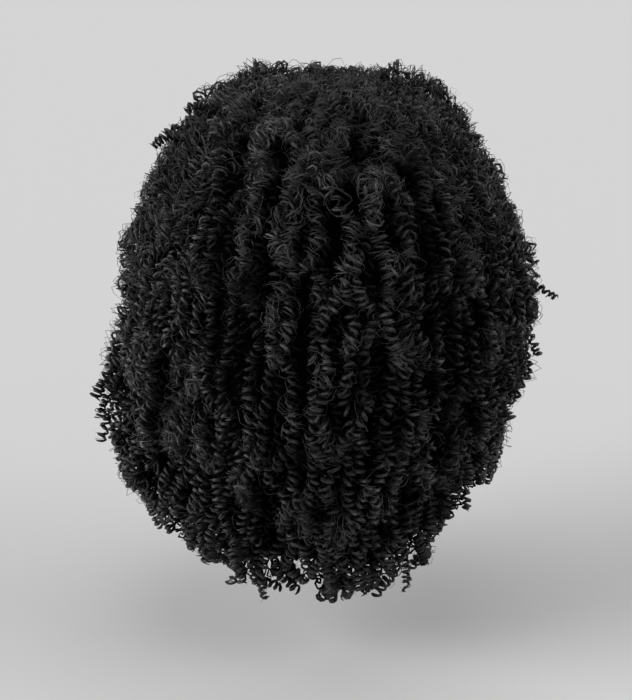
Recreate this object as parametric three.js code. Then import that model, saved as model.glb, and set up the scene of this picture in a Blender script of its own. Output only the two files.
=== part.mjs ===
// A full, layered wig of spring curls, in the form that it has on a head.
// Millimetres, +Z up. The origin is on the inside of the cap, at the crown of the head. The wearer
// faces +Y, so the back of the wig is at -Y and the wearer's right is at +X.
//
// A cap with an edge band carries five rows of locks and a fringe. Each row is sewn to the cap along a
// weft and lies over the row below it like a shingle, so that only its lower part and its tips show.
import * as THREE from "three";

// Head that the cap fits, measured at its widest level, and that level below the crown
const headWidth = 152;
const headLength = 190;
const crownRise = 95;
const napeDrop = 110;

// Hollow round the neck, which the hanging locks keep clear
const neckWidth = 138;
const neckLength = 152;
const neckReach = 330;

// Cap and the band sewn inside its rim
const capWall = 1.5;
const bandWidth = 10;
const bandThickness = 1.2;

// Depth of the hair, from the cap or the neck hollow out to its rounded outline
const crownDepth = 26;
const sideDepth = 60;
const backDepth = 60;
const frontDepth = 40;

// Weft along which a row of locks is sewn on, and the reliefs of the locks
const weftWidth = 6;
const weftThickness = 4;
const valleyDepth = 8;
const lockRelief = 4;

// Angle down from the crown to the ends of the fringe, how much the fringe thins towards them, and how
// far it keeps clear of the rows beside it, in degrees
const fringeAngle = 88;
const fringeTaperShare = 0.5;
const fringeInsetAngle = 0.8;

// Thinning of the hair towards the edges of the opening for the face: the share that goes, how many
// degrees round the head it takes, and the angles down from the crown where it sets in and is full
const edgeThinningShare = 0.3;
const edgeTurnAngle = 12;
const edgeStartAngle = 60;
const edgeFullAngle = 90;

// Clearances between sewn pieces and between rows of locks
const seatGap = 0.5;
const rowGap = 1.8;

// Where the cap's rim lies: degrees down from the crown about the head's centre, for each turn from
// the front, the same on both sides. It drops to a tab before the ear and rises over the ear.
const capRim = [
  { turn: 0, angle: 58 },
  { turn: 28, angle: 66 },
  { turn: 45, angle: 82 },
  { turn: 60, angle: 96 },
  { turn: 74, angle: 101 },
  { turn: 90, angle: 98 },
  { turn: 108, angle: 103 },
  { turn: 140, angle: 117 },
  { turn: 180, angle: 124 },
];

// Where the hair ends, in the same degrees, round the whole head: right side at turn 90, back at 180
const hairHem = [
  { turn: 36, angle: 138 },
  { turn: 70, angle: 145 },
  { turn: 100, angle: 148 },
  { turn: 130, angle: 153 },
  { turn: 155, angle: 156.5 },
  { turn: 180, angle: 158 },
  { turn: 205, angle: 157 },
  { turn: 230, angle: 153.5 },
  { turn: 260, angle: 148 },
  { turn: 290, angle: 144 },
  { turn: 324, angle: 138 },
];

// Depth of the hair at each angle down from the crown, as shares of the depths named above
const hairSections = [
  { angle: 18, left: 0.54, right: 0.54, back: 0.55, front: 0.76 },
  { angle: 36, left: 0.7, right: 0.68, back: 0.64, front: 0.86 },
  { angle: 51, left: 0.72, right: 0.69, back: 0.69, front: 0.92 },
  { angle: 64, left: 0.71, right: 0.7, back: 0.7, front: 0.95 },
  { angle: 77, left: 0.74, right: 0.76, back: 0.7, front: 0.95 },
  { angle: 89, left: 0.77, right: 0.85, back: 0.72, front: 1.0 },
  { angle: 101, left: 0.87, right: 0.92, back: 0.77, front: 1.1 },
  { angle: 111, left: 1.05, right: 1.03, back: 0.83, front: 1.2 },
  { angle: 121, left: 1.25, right: 1.07, back: 0.91, front: 1.25 },
  { angle: 131, left: 1.41, right: 1.03, back: 1.01, front: 1.25 },
  { angle: 141, left: 1.37, right: 0.98, back: 1.1, front: 1.15 },
  { angle: 150, left: 1.15, right: 0.85, back: 1.0, front: 0.95 },
  { angle: 159, left: 0.7, right: 0.6, back: 0.5, front: 0.6 },
];

// Hollows between the larger clumps of hair, each with its half sizes in degrees and its depth as a
// share of the hair's depth there
const clumpGaps = [
  { turn: 224, angle: 62, halfTurn: 10, halfAngle: 34, share: 0.2 },
  { turn: 216, angle: 104, halfTurn: 10, halfAngle: 22, share: 0.2 },
  { turn: 176, angle: 84, halfTurn: 6, halfAngle: 14, share: 0.16 },
  { turn: 172, angle: 112, halfTurn: 6, halfAngle: 14, share: 0.18 },
  { turn: 157, angle: 117, halfTurn: 7, halfAngle: 10, share: 0.2 },
  { turn: 127, angle: 106, halfTurn: 8, halfAngle: 18, share: 0.18 },
  { turn: 132, angle: 78, halfTurn: 7, halfAngle: 10, share: 0.14 },
  { turn: 290, angle: 96, halfTurn: 8, halfAngle: 18, share: 0.14 },
  { turn: 70, angle: 92, halfTurn: 8, halfAngle: 18, share: 0.14 },
];

// Rows of locks from the crown down, on sections counted from the crown: the cap's rim is section 10
// and the hem is section 14. A row is sewn on at its root, and its longest locks reach its end. Others
// stop up to `shorter` sections before it. span says which part of the head the row runs round.
const lockRows = [
  { name: "crown_locks", root: 1, end: 4, shorter: 1, span: "ring", seed: 1 },
  { name: "upper_locks", root: 2, end: 7, shorter: 1, span: "ring", seed: 2 },
  { name: "middle_locks", root: 4, end: 10, shorter: 1, span: "sides_and_back", seed: 3 },
  { name: "lower_locks", root: 7, end: 12, shorter: 1, span: "sides_and_back", seed: 4 },
  { name: "nape_locks", root: 9, end: 14, shorter: 0.4, span: "sides_and_back", seed: 5 },
];
const fringeRow = { name: "fringe_locks", root: 4, end: 14, shorter: 0.4, span: "forehead", seed: 6 };

// Grid that all rows share: locks side by side round the head, those across the face, where the columns
// of each lock lie across it, and the sections down to the rim and from there to the hem. The first two
// columns are the edges of a rib, and the last is the valley beside it.
const lockCount = 45;
const faceLockCount = 9;
const lockColumns = [0, 0.52, 0.76];
const rimSectionCount = 10;
const hemSectionCount = 4;

// How a row lies: its underside's share of the hair's depth at its tips, how soon it lifts off the cap,
// the share of its thickness that valleys may take, and how soon they are full below the crown, where
// the locks are narrow
const tipUndersideShare = 0.85;
const liftExponent = 0.8;
const maxCarvingShare = 0.6;
const carvingShareFactor = 1.2;

// How the tips of a row end. A valley ends between the shorter and the longer tip beside it, less a
// notch, and notch and unevenness are in sections.
const tipJoinShare = 0.3;
const tipNotchShare = 0.45;
const tipUnevennessShare = 0.3;

// Slow sideways wander of the locks at the outline: degrees, waves round the head, slant of the waves
// and how often they turn on the way down
const wanderAngle = 3;
const wanderWaveCount = 5;
const wanderSlantRatio = 3;
const wanderBendRatio = 2.1;

const rad = THREE.MathUtils.degToRad;
const { clamp, lerp, smoothstep } = THREE.MathUtils;
const fullAngle = 360;
const widestAngle = 90;
const lockAngle = fullAngle / lockCount;
const faceHalfAngle = (faceLockCount / 2) * lockAngle;
const headCentre = new THREE.Vector3(0, 0, -crownRise);

// A smooth curve through one column of a table
function curveOf(rows, at, column) {
  const places = rows.map((row) => row[at]);
  const values = rows.map((row) => row[column]);
  const curve = new THREE.CubicInterpolant(places, values, 1);
  const [first, last] = [places[0], places[places.length - 1]];
  return (place) => curve.evaluate(clamp(place, first, last))[0];
}

const rimAngle = curveOf(capRim, "turn", "angle");
const hemAngle = curveOf(hairHem, "turn", "angle");
const depthNames = { left: sideDepth, right: sideDepth, back: backDepth, front: frontDepth };
const depthCurves = Object.fromEntries(
  Object.entries(depthNames).map(([side, depth]) => {
    const rows = hairSections.map(({ angle, [side]: share }) => ({ angle, depth: share * depth }));
    return [side, curveOf([{ angle: 0, depth: crownDepth }, ...rows], "angle", "depth")];
  }),
);

// Turn from the front brought into one round, and the same folded onto one side of the head
const wholeTurn = (turn) => ((turn % fullAngle) + fullAngle) % fullAngle;
const foldedTurn = (turn) => Math.min(wholeTurn(turn), fullAngle - wholeTurn(turn));

// Distance from the head's centre to an ellipsoid, in the direction of a turn and an angle down
function ellipsoidRadius(turn, angle, halfWidth, halfLength, halfHeight) {
  const out = Math.sin(rad(angle));
  return 1 / Math.hypot(
    (out * Math.sin(rad(turn))) / halfWidth,
    (out * Math.cos(rad(turn))) / halfLength,
    Math.cos(rad(angle)) / halfHeight,
  );
}

// Distance to the head, grown outward by a given thickness
function headRadius(turn, angle, grown = 0) {
  const halfHeight = (angle < widestAngle ? crownRise : napeDrop) + grown;
  return ellipsoidRadius(turn, angle, headWidth / 2 + grown, headLength / 2 + grown, halfHeight);
}

// Distance to the surface that the hair lies on: the cap as far as its rim and the head's widest level,
// and from there a wall that draws in to the hollow round the neck, which it reaches at the hem
function innerRadius(turn, angle) {
  const hollow = ellipsoidRadius(turn, angle, neckWidth / 2, neckLength / 2, neckReach);
  const wallTop = Math.max(rimAngle(foldedTurn(turn)), widestAngle);
  const way = clamp((angle - wallTop) / (hemAngle(wholeTurn(turn)) - wallTop), 0, 1);
  return lerp(headRadius(turn, angle, capWall), hollow, way);
}

// How much of a clump gap there is at a point, from 0 to its share
function gapShare(gap, turn, angle) {
  const away = Math.hypot((turn - gap.turn) / gap.halfTurn, (angle - gap.angle) / gap.halfAngle);
  return away < 1 ? gap.share * (1 - away * away) ** 2 : 0;
}

// Depth of the hair at a turn and an angle, without its clump gaps
function hairDepth(turn, angle) {
  const across = Math.sin(rad(turn)) ** 2;
  const side = Math.sin(rad(turn)) > 0 ? "right" : "left";
  const end = Math.cos(rad(turn)) > 0 ? "front" : "back";
  const depth = lerp(depthCurves[end](angle), depthCurves[side](angle), across);
  const nearEdge = 1 - smoothstep(Math.abs(foldedTurn(turn) - faceHalfAngle), 0, edgeTurnAngle);
  return depth * (1 - edgeThinningShare * nearEdge * smoothstep(angle, edgeStartAngle, edgeFullAngle));
}

// Angle down from the crown of a section, which need not be a whole one
function angleAt(turn, section, span) {
  const rim = rimAngle(foldedTurn(turn));
  if (section <= rimSectionCount) return (section / rimSectionCount) * rim;
  const hem = span === "forehead" ? fringeAngle : hemAngle(wholeTurn(turn));
  return lerp(rim, hem, (section - rimSectionCount) / hemSectionCount);
}

// Point in a direction from the head's centre
function pointAt(turn, angle, radius) {
  const out = radius * Math.sin(rad(angle));
  return new THREE.Vector3(
    out * Math.sin(rad(turn)),
    out * Math.cos(rad(turn)),
    radius * Math.cos(rad(angle)) - crownRise,
  );
}

// Point of the hair at a share of its depth, moved outward by lift. The locks wander sideways by more
// the further out they lie.
function hairPoint(turn, section, span, share, lift) {
  const angle = angleAt(turn, section, span);
  const bend = Math.sin(rad(wanderBendRatio * angle));
  const wave = bend * Math.sin(rad(wanderWaveCount * turn + wanderSlantRatio * angle));
  const swung = turn + share * wanderAngle * wave;
  const radius = innerRadius(swung, angle) + share * hairDepth(swung, angle);
  return pointAt(swung, angle, radius + lift);
}

// A value from 0 to 1 that differs from lock to lock
function scatter(seed, lock) {
  const wave = Math.sin(seed * 12.9898 + lock * 78.233) * 43758.5453;
  return wave - Math.floor(wave);
}

// First lock and number of locks of each span. Lock 0 is centred on the front.
const spans = {
  ring: { first: 0, count: lockCount },
  sides_and_back: { first: (faceLockCount + 1) / 2, count: lockCount - faceLockCount },
  forehead: { first: (1 - faceLockCount) / 2, count: faceLockCount },
};
const lockOf = (lock) => ((lock % lockCount) + lockCount) % lockCount;

// Factor by which the middle of a facet lies inside the round surface that it stands for
const sectionAngle = rimAngle(fullAngle / 2) / rimSectionCount;
const facetSag = Math.cos(rad(lockAngle / 2)) * Math.cos(rad(sectionAngle / 2));

// Section at which one lock of a row ends, before its own small unevenness
function lockEnd(row, lock) {
  const short = row.shorter * scatter(row.seed, lockOf(lock));
  return row.end - (row.shorter < 1 ? short : Math.round(short));
}

// A column of the grid: its turn, its lock, and whether it is the valley between that lock and the next
function columnAt(span, index, perLock) {
  const { first } = spans[span];
  const lock = first + Math.floor(index / perLock);
  const inLock = index % perLock;
  const turn = (lock - 0.5 + lockColumns[inLock]) * lockAngle;
  return { turn, lock, inLock, valley: inLock === lockColumns.length - 1 };
}

// Share of the hair's depth at which the underside of a row lies
function undersideOf(row, section) {
  if (row.span === "forehead" || row === lockRows[lockRows.length - 1]) return 0;
  const way = clamp((section - row.root) / (row.end - row.root), 0, 1);
  return tipUndersideShare * way ** liftExponent;
}

// Whether point d lies outside the facet through a, b and c
function isOutside(points, a, b, c, d) {
  const facet = new THREE.Plane().setFromCoplanarPoints(points[a], points[b], points[c]);
  return facet.distanceToPoint(points[d]) > 0;
}

// Joins two rings of points, the upper and the lower one, of which one may be finer. Both run the same
// way round the head. A four-sided facet is split so that an outer surface stays low and an inner one
// high, which keeps neighbouring rows apart, and a fan takes the shorter edges.
function strip(points, faces, upper, lower, outward) {
  const steps = Math.min(upper.length, lower.length) - 1;
  const upRatio = (upper.length - 1) / steps;
  const lowRatio = (lower.length - 1) / steps;
  const length = (a, b) => points[a].distanceTo(points[b]);
  const add = (a, b, c) => faces.push(outward ? [a, b, c] : [a, c, b]);
  for (let step = 0; step < steps; step++) {
    let [up, low] = [step * upRatio, step * lowRatio];
    const [upEnd, lowEnd] = [up + upRatio, low + lowRatio];
    const single = upRatio === lowRatio;
    const folded = isOutside(points, upper[up], upper[upEnd], lower[lowEnd], lower[low]);
    while (up < upEnd || low < lowEnd) {
      const acrossUp = up < upEnd ? length(upper[up + 1], lower[low]) : Infinity;
      const acrossLow = low < lowEnd ? length(upper[up], lower[low + 1]) : Infinity;
      const upFirst = single && up < upEnd && low < lowEnd ? folded !== outward : acrossUp < acrossLow;
      if (upFirst) {
        add(upper[up], upper[up + 1], lower[low]);
        up += 1;
      } else {
        add(upper[up], lower[low + 1], lower[low]);
        low += 1;
      }
    }
  }
}

// A closed shell between an outer and an inner surface, each a list of rings from the top down. A ring
// that closes on itself needs no side walls, and with poles the shell is a dome.
function shellGeometry(outer, inner, { closed, poles }) {
  const points = [];
  const faces = [];
  const indexed = (ring) => {
    const first = points.length;
    points.push(...ring);
    const indices = ring.map((_, i) => first + i);
    return closed ? [...indices, first] : indices;
  };
  const [outerRings, innerRings] = [outer.map(indexed), inner.map(indexed)];
  outerRings.slice(1).forEach((ring, i) => strip(points, faces, outerRings[i], ring, true));
  innerRings.slice(1).forEach((ring, i) => strip(points, faces, innerRings[i], ring, false));
  strip(points, faces, outerRings[outerRings.length - 1], innerRings[innerRings.length - 1], true);
  if (poles) {
    const [top, bottom] = indexed(poles);
    outerRings[0].slice(1).forEach((point, i) => faces.push([top, point, outerRings[0][i]]));
    innerRings[0].slice(1).forEach((point, i) => faces.push([bottom, innerRings[0][i], point]));
  } else {
    strip(points, faces, outerRings[0], innerRings[0], false);
  }
  if (!closed) {
    outerRings.slice(1).forEach((ring, i) => {
      const [above, insideAbove, inside] = [outerRings[i], innerRings[i], innerRings[i + 1]];
      faces.push([above[0], ring[0], inside[0]], [above[0], inside[0], insideAbove[0]]);
      const [a, b, c, d] = [above, ring, inside, insideAbove].map((one) => one[one.length - 1]);
      faces.push([a, c, b], [a, d, c]);
    });
  }
  const geometry = new THREE.BufferGeometry().setFromPoints(points);
  geometry.setIndex(faces.flat());
  geometry.computeVertexNormals();
  return geometry;
}

// One row of locks, fused side by side to its weft. Where the row above covers it, its outside follows
// the underside of that row. Below, each lock is a rib between two valleys with its own tip.
function lockRowGeometry(row, rowAbove) {
  const { count } = spans[row.span];
  const closed = row.span === "ring";
  const weft = weftWidth / ((crownRise * rad(rimAngle(fullAngle / 2))) / rimSectionCount);
  const lastWhole = row.end - Math.ceil(row.shorter) - 1;
  const whole = Array.from({ length: lastWhole - row.root }, (_, i) => row.root + 1 + i);
  const sections = [row.root, ...(rowAbove ? [row.root + weft] : []), ...whole];
  const coveredTo = ({ lock, inLock }) => {
    if (!rowAbove) return -1;
    return Math.max(lockEnd(rowAbove, lock), lockEnd(rowAbove, inLock > 0 ? lock + 1 : lock));
  };
  const fineFrom = rowAbove ? rowAbove.end - Math.ceil(rowAbove.shorter) : row.root + 1;

  // Where a column ends: a valley stops short of the tips beside it
  const tipOf = (lock) => lockEnd(row, lock) - tipUnevennessShare * scatter(row.seed + 9, lockOf(lock));
  const reachOf = ({ lock, valley }) => {
    const [shorter, longer] = [tipOf(lock), tipOf(lock + 1)].sort((a, b) => a - b);
    return valley ? lerp(shorter, longer, tipJoinShare) - tipNotchShare : tipOf(lock);
  };
  const outerPoint = (section, column) => {
    const { turn, valley, lock } = column;
    const angle = angleAt(turn, section, row.span);
    const depth = hairDepth(turn, angle);
    const covered = section <= coveredTo(column);
    const outside = covered ? undersideOf(rowAbove, section) : 1;
    if (rowAbove && section === row.root) {
      return hairPoint(turn, section, row.span, Math.min(outside, weftThickness / depth), 0);
    }
    if (covered) return hairPoint(turn, section, row.span, outside, 0);
    const belowRim = clamp((section - rimSectionCount) / hemSectionCount, 0, 1);
    const taper = row === fringeRow ? 1 - fringeTaperShare * belowRim : 1;
    const relief = valley ? valleyDepth : lockRelief * scatter(row.seed + 20, lockOf(lock));
    const gap = clumpGaps.reduce((sum, one) => sum + gapShare(one, wholeTurn(turn), angle), 0);
    const drop = relief * Math.min(1, carvingShareFactor * Math.sin(rad(angle))) + gap * depth;
    const thickness = (taper - undersideOf(row, section)) * depth - 2 * rowGap;
    return hairPoint(turn, section, row.span, taper, -Math.min(drop, maxCarvingShare * thickness));
  };
  const innerPoint = (section, column) => {
    const share = undersideOf(row, section);
    const lift = share > 0 ? rowGap : seatGap;
    const point = hairPoint(column.turn, section, row.span, share, lift);
    return share > 0 ? point.sub(headCentre).divideScalar(facetSag).add(headCentre) : point;
  };

  const inset = row.span === "forehead" ? fringeInsetAngle : 0;
  const ring = (sectionOf, point, perLock) => {
    const columns = count * perLock + (closed ? 0 : 1);
    return Array.from({ length: columns }, (_, index) => {
      const column = columnAt(row.span, index, perLock);
      if (index === 0) column.turn += inset;
      if (index === count * perLock) column.turn -= inset;
      return point(sectionOf(column), column);
    });
  };
  const tips = [0.5, 1].map((part) => (column) => lerp(lastWhole, reachOf(column), part));
  const outer = [
    ...sections.map((s) => ring(() => s, outerPoint, s < fineFrom ? 1 : lockColumns.length)),
    ...tips.map((sectionOf) => ring(sectionOf, outerPoint, lockColumns.length)),
  ];
  const inner = [
    ...sections.map((s) => ring(() => s, innerPoint, 1)),
    ...tips.map((sectionOf) => ring(sectionOf, innerPoint, 1)),
  ];
  const poles = rowAbove
    ? null
    : [pointAt(0, 0, crownRise + capWall + crownDepth), pointAt(0, 0, crownRise + capWall + seatGap)];
  return shellGeometry(outer, inner, { closed, poles });
}

// Turns of the columns of the cap, which are those of the locks
const capTurns = Array.from({ length: lockCount }, (_, lock) => (lock - 0.5) * lockAngle);

// The cap: a thin dome down to its rim
function capGeometry() {
  const surface = (grown) => Array.from({ length: rimSectionCount }, (_, i) =>
    capTurns.map((turn) => {
      const angle = angleAt(turn, i + 1, "ring");
      return pointAt(turn, angle, headRadius(turn, angle, grown));
    }));
  const poles = [pointAt(0, 0, crownRise + capWall), pointAt(0, 0, crownRise)];
  return shellGeometry(surface(capWall), surface(0), { closed: true, poles });
}

// The band inside the rim, as wide as it is all the way round
function bandGeometry() {
  const surface = (inset) => [bandWidth, 0].map((up) =>
    capTurns.map((turn) => {
      const rim = rimAngle(foldedTurn(turn));
      const angle = rim - THREE.MathUtils.radToDeg(up / headRadius(turn, rim));
      return pointAt(turn, angle, headRadius(turn, angle) * facetSag - seatGap - inset);
    }));
  return shellGeometry(surface(0), surface(bandThickness), { closed: true });
}

// Materials: black synthetic hair, and the black elastic net of the cap
const hair = new THREE.MeshStandardMaterial({ color: 0x17171a, roughness: 0.6, metalness: 0 });
const net = new THREE.MeshStandardMaterial({ color: 0x1c1b1b, roughness: 0.9, metalness: 0 });
const elastic = new THREE.MeshStandardMaterial({ color: 0x121212, roughness: 0.8, metalness: 0 });

function named(name, geometry, material) {
  const mesh = new THREE.Mesh(geometry, material);
  mesh.name = name;
  return mesh;
}

const wig = new THREE.Group();
wig.name = "wig";
wig.add(named("cap", capGeometry(), net));
wig.add(named("edge_band", bandGeometry(), elastic));
lockRows.forEach((row, index) => {
  wig.add(named(row.name, lockRowGeometry(row, lockRows[index - 1]), hair));
});
wig.add(named(fringeRow.name, lockRowGeometry(fringeRow, lockRows[1]), hair));

export default wig;
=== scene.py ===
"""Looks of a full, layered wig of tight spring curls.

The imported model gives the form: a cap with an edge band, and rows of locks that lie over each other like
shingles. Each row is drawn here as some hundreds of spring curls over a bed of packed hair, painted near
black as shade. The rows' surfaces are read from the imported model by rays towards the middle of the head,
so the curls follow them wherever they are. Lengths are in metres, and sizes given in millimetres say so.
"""

from __future__ import annotations

import logging
import math
from dataclasses import dataclass, field, replace
from enum import Enum

import bpy
import numpy as np
from mathutils import Matrix, Vector
from mathutils.bvhtree import BVHTree

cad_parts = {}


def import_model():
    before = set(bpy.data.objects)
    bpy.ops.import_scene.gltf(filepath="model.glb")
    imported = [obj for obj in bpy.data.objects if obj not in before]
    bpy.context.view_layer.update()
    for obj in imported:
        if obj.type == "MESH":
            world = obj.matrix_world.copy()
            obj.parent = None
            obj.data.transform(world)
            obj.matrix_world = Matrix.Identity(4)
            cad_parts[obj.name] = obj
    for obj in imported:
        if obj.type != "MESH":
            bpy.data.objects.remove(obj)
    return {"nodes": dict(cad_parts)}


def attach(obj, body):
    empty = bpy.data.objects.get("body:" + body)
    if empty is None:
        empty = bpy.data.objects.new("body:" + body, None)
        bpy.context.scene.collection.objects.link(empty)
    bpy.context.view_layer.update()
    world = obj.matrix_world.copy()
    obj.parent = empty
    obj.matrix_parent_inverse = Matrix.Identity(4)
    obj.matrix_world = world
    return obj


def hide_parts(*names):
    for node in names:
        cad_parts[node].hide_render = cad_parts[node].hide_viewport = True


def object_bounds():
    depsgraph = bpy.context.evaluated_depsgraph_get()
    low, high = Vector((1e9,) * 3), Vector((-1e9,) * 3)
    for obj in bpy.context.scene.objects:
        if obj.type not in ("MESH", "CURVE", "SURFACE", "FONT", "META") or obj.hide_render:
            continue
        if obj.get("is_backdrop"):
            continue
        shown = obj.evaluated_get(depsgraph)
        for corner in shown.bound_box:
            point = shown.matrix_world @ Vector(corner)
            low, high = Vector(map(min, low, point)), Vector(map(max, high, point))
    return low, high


LOG = logging.getLogger("wig")
MM = 0.001
FULL_TURN = 360.0

# Middle of the head, from which the rows' surfaces are read, below the crown of the cap
HEAD_CENTRE = np.array([0.0, 0.0, -95 * MM])

# The face is open for this many degrees to each side of the front
FACE_HALF_TURN = 36.0


class Span(Enum):
    """Which part of the head a row runs round."""

    RING = "ring"
    SIDES_AND_BACK = "sides and back"
    FOREHEAD = "forehead"


def linear(hex_colour: str, alpha: float = 1.0) -> tuple[float, float, float, float]:
    """Turns an sRGB hex value into linear colour.

    Args:
        hex_colour: Six hex digits after a hash.
        alpha: Opacity that goes with it.

    Returns:
        Red, green, blue and alpha, as Blender's sockets take them.
    """
    channels = [int(hex_colour[i : i + 2], 16) / 255 for i in (1, 3, 5)]
    red, green, blue = [c / 12.92 if c <= 0.04045 else ((c + 0.055) / 1.055) ** 2.4 for c in channels]
    return red, green, blue, alpha


def add_node(
    material: bpy.types.Material, kind: str, inputs: dict | None = None, **settings: object
) -> bpy.types.Node:
    """Adds a shader node with its settings and links.

    Args:
        material: Material whose tree takes the node.
        kind: Type of the node, without the words ShaderNode.
        inputs: Value or output socket for each input, by its name or its place.
        **settings: Attributes of the node.

    Returns:
        The new node.
    """
    tree = material.node_tree
    node = tree.nodes.new("ShaderNode" + kind)
    for name, value in settings.items():
        setattr(node, name, value)
    for name, value in (inputs or {}).items():
        socket = node.inputs[name]
        if isinstance(value, bpy.types.NodeSocket):
            tree.links.new(value, socket)
        else:
            socket.default_value = value
    return node


def new_material(name: str) -> bpy.types.Material:
    """Makes an empty node material, with that name.

    Args:
        name: The finish's name.

    Returns:
        The new material.
    """
    material = bpy.data.materials.new(name)
    material.use_nodes = True
    material.node_tree.nodes.clear()
    return material


@dataclass(frozen=True)
class HairFinish:
    """Kinky modacrylic fibre, heat-set round fine rods.

    The fibre is solid-dyed natural black. It is fine, matt and slightly rough. Each strand's tone carries a
    painted highlight on the outer side of every turn of a curl and painted shade on its flanks, besides the
    lock's own lightness, so that a curl looks soft grey where it turns outwards and black between its turns.
    A strand's tone is raised to the power of its falloff, which narrows the painted highlight. The flecks'
    noise is spread from its range over their contrast.
    """

    name: str = "kinky_modacrylic_fibre"
    deep: str = "#050505"
    light: str = "#7a7a7a"
    roughness: float = 0.52
    ior: float = 1.5
    specular: float = 0.17
    sheen: float = 0.08
    sheen_colour: str = "#8c8c8c"
    sheen_roughness: float = 0.5
    falloff: float = 1.35
    patch_mm: float = 14.0
    fleck_mm: float = 2.4
    fleck_range: tuple[float, float] = (0.36, 0.66)
    fleck_contrast: tuple[float, float] = (0.3, 1.6)
    fibre_mm: float = 0.45
    fibre_bump: float = 0.6

    def build(self) -> bpy.types.Material:
        """Makes the material.

        Returns:
            A material that reads the curls' own tone attribute and their UV map along the strand.
        """
        material = new_material(self.name)
        place = add_node(material, "TexCoord")
        through = {"Vector": place.outputs["Object"], "Detail": 3.0}
        patches = add_node(material, "TexNoise", through | {"Scale": 1 / (self.patch_mm * MM)})
        fine = {"Scale": 1 / (self.fleck_mm * MM), "Roughness": 0.65}
        flecks = add_node(material, "TexNoise", through | fine)
        ranges = (flecks.outputs["Fac"], *self.fleck_range, *self.fleck_contrast)
        contrast = add_node(material, "MapRange", dict(enumerate(ranges)))
        # The tone attribute holds painted highlight, painted shade and painted light as well as each lock's
        # own lightness
        tone = add_node(material, "Attribute", attribute_name="tone")
        power = {0: tone.outputs["Fac"], 1: self.falloff}
        spot = add_node(material, "Math", power, operation="POWER")
        factors = {0: spot.outputs[0], 1: patches.outputs["Fac"]}
        patched = add_node(material, "Math", factors, operation="MULTIPLY")
        factors = {0: patched.outputs[0], 1: contrast.outputs[0]}
        flecked = add_node(material, "Math", factors, operation="MULTIPLY", use_clamp=True)
        colours = {0: flecked.outputs[0], 6: linear(self.deep), 7: linear(self.light)}
        colour = add_node(material, "Mix", colours, data_type="RGBA")
        # A strand's UV runs along it in millimetres and across it from 0 to 1. The fibres are far finer
        # than this in truth, and are drawn as coarse as they need to be to show.
        scale = (0.12, 3.0 / self.fibre_mm, 1.0)
        stretch = add_node(material, "Mapping", {"Vector": place.outputs["UV"], "Scale": scale})
        lines = {"Vector": stretch.outputs[0], "Scale": 1.0, "Detail": 2.0}
        fibres = add_node(material, "TexNoise", lines)
        relief = {"Strength": self.fibre_bump, "Distance": self.fibre_mm * MM}
        bump = add_node(material, "Bump", relief | {"Height": fibres.outputs["Fac"]})
        shader = add_node(
            material,
            "BsdfPrincipled",
            {
                "Base Color": colour.outputs[2],
                "Roughness": self.roughness,
                "IOR": self.ior,
                "Specular IOR Level": self.specular,
                "Sheen Weight": self.sheen,
                "Sheen Roughness": self.sheen_roughness,
                "Sheen Tint": linear(self.sheen_colour),
                "Normal": bump.outputs[0],
            },
        )
        add_node(material, "OutputMaterial", {"Surface": shader.outputs[0]})
        return material


@dataclass(frozen=True)
class BedFinish:
    """The same fibre under the outer curls, packed in the bed and matted into felt at the crown, painted
    darker than the curls as shade, and without gloss.
    """

    name: str
    deep: str
    light: str
    tangle_mm: float
    roughness: float = 0.95
    relief_mm: float = 1.5

    def build(self) -> bpy.types.Material:
        """Makes the material, with a tangle of fibres as its bump.

        Returns:
            The new material.
        """
        material = new_material(self.name)
        place = add_node(material, "TexCoord")
        winding = {"Scale": 1 / (self.tangle_mm * MM), "Detail": 4.0, "Distortion": 1.5}
        tangle = add_node(material, "TexNoise", winding | {"Vector": place.outputs["Object"]})
        colours = {0: tangle.outputs["Fac"], 6: linear(self.deep), 7: linear(self.light)}
        colour = add_node(material, "Mix", colours, data_type="RGBA")
        relief = {"Strength": 1.0, "Distance": self.relief_mm * MM}
        bump = add_node(material, "Bump", relief | {"Height": tangle.outputs["Fac"]})
        shader = add_node(
            material,
            "BsdfPrincipled",
            {
                "Base Color": colour.outputs[2],
                "Roughness": self.roughness,
                "Specular IOR Level": 0.0,
                "Normal": bump.outputs[0],
            },
        )
        add_node(material, "OutputMaterial", {"Surface": shader.outputs[0]})
        return material


# The bed, the layer under the outer curls, and that layer at the crown, where the hair is felted: the fibre
# painted near black as shade, a little less dark under the curls and least dark at the crown
PACKED_SHADE = BedFinish("packed_shaded_modacrylic_fibre", "#010101", "#080808", 2.0)
SHADED = BedFinish("shaded_modacrylic_fibre", "#060606", "#1a1a1a", 3.0)
CROWN_SHADED = BedFinish("crown_shaded_modacrylic_fibre", "#101010", "#363636", 3.0)


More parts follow.
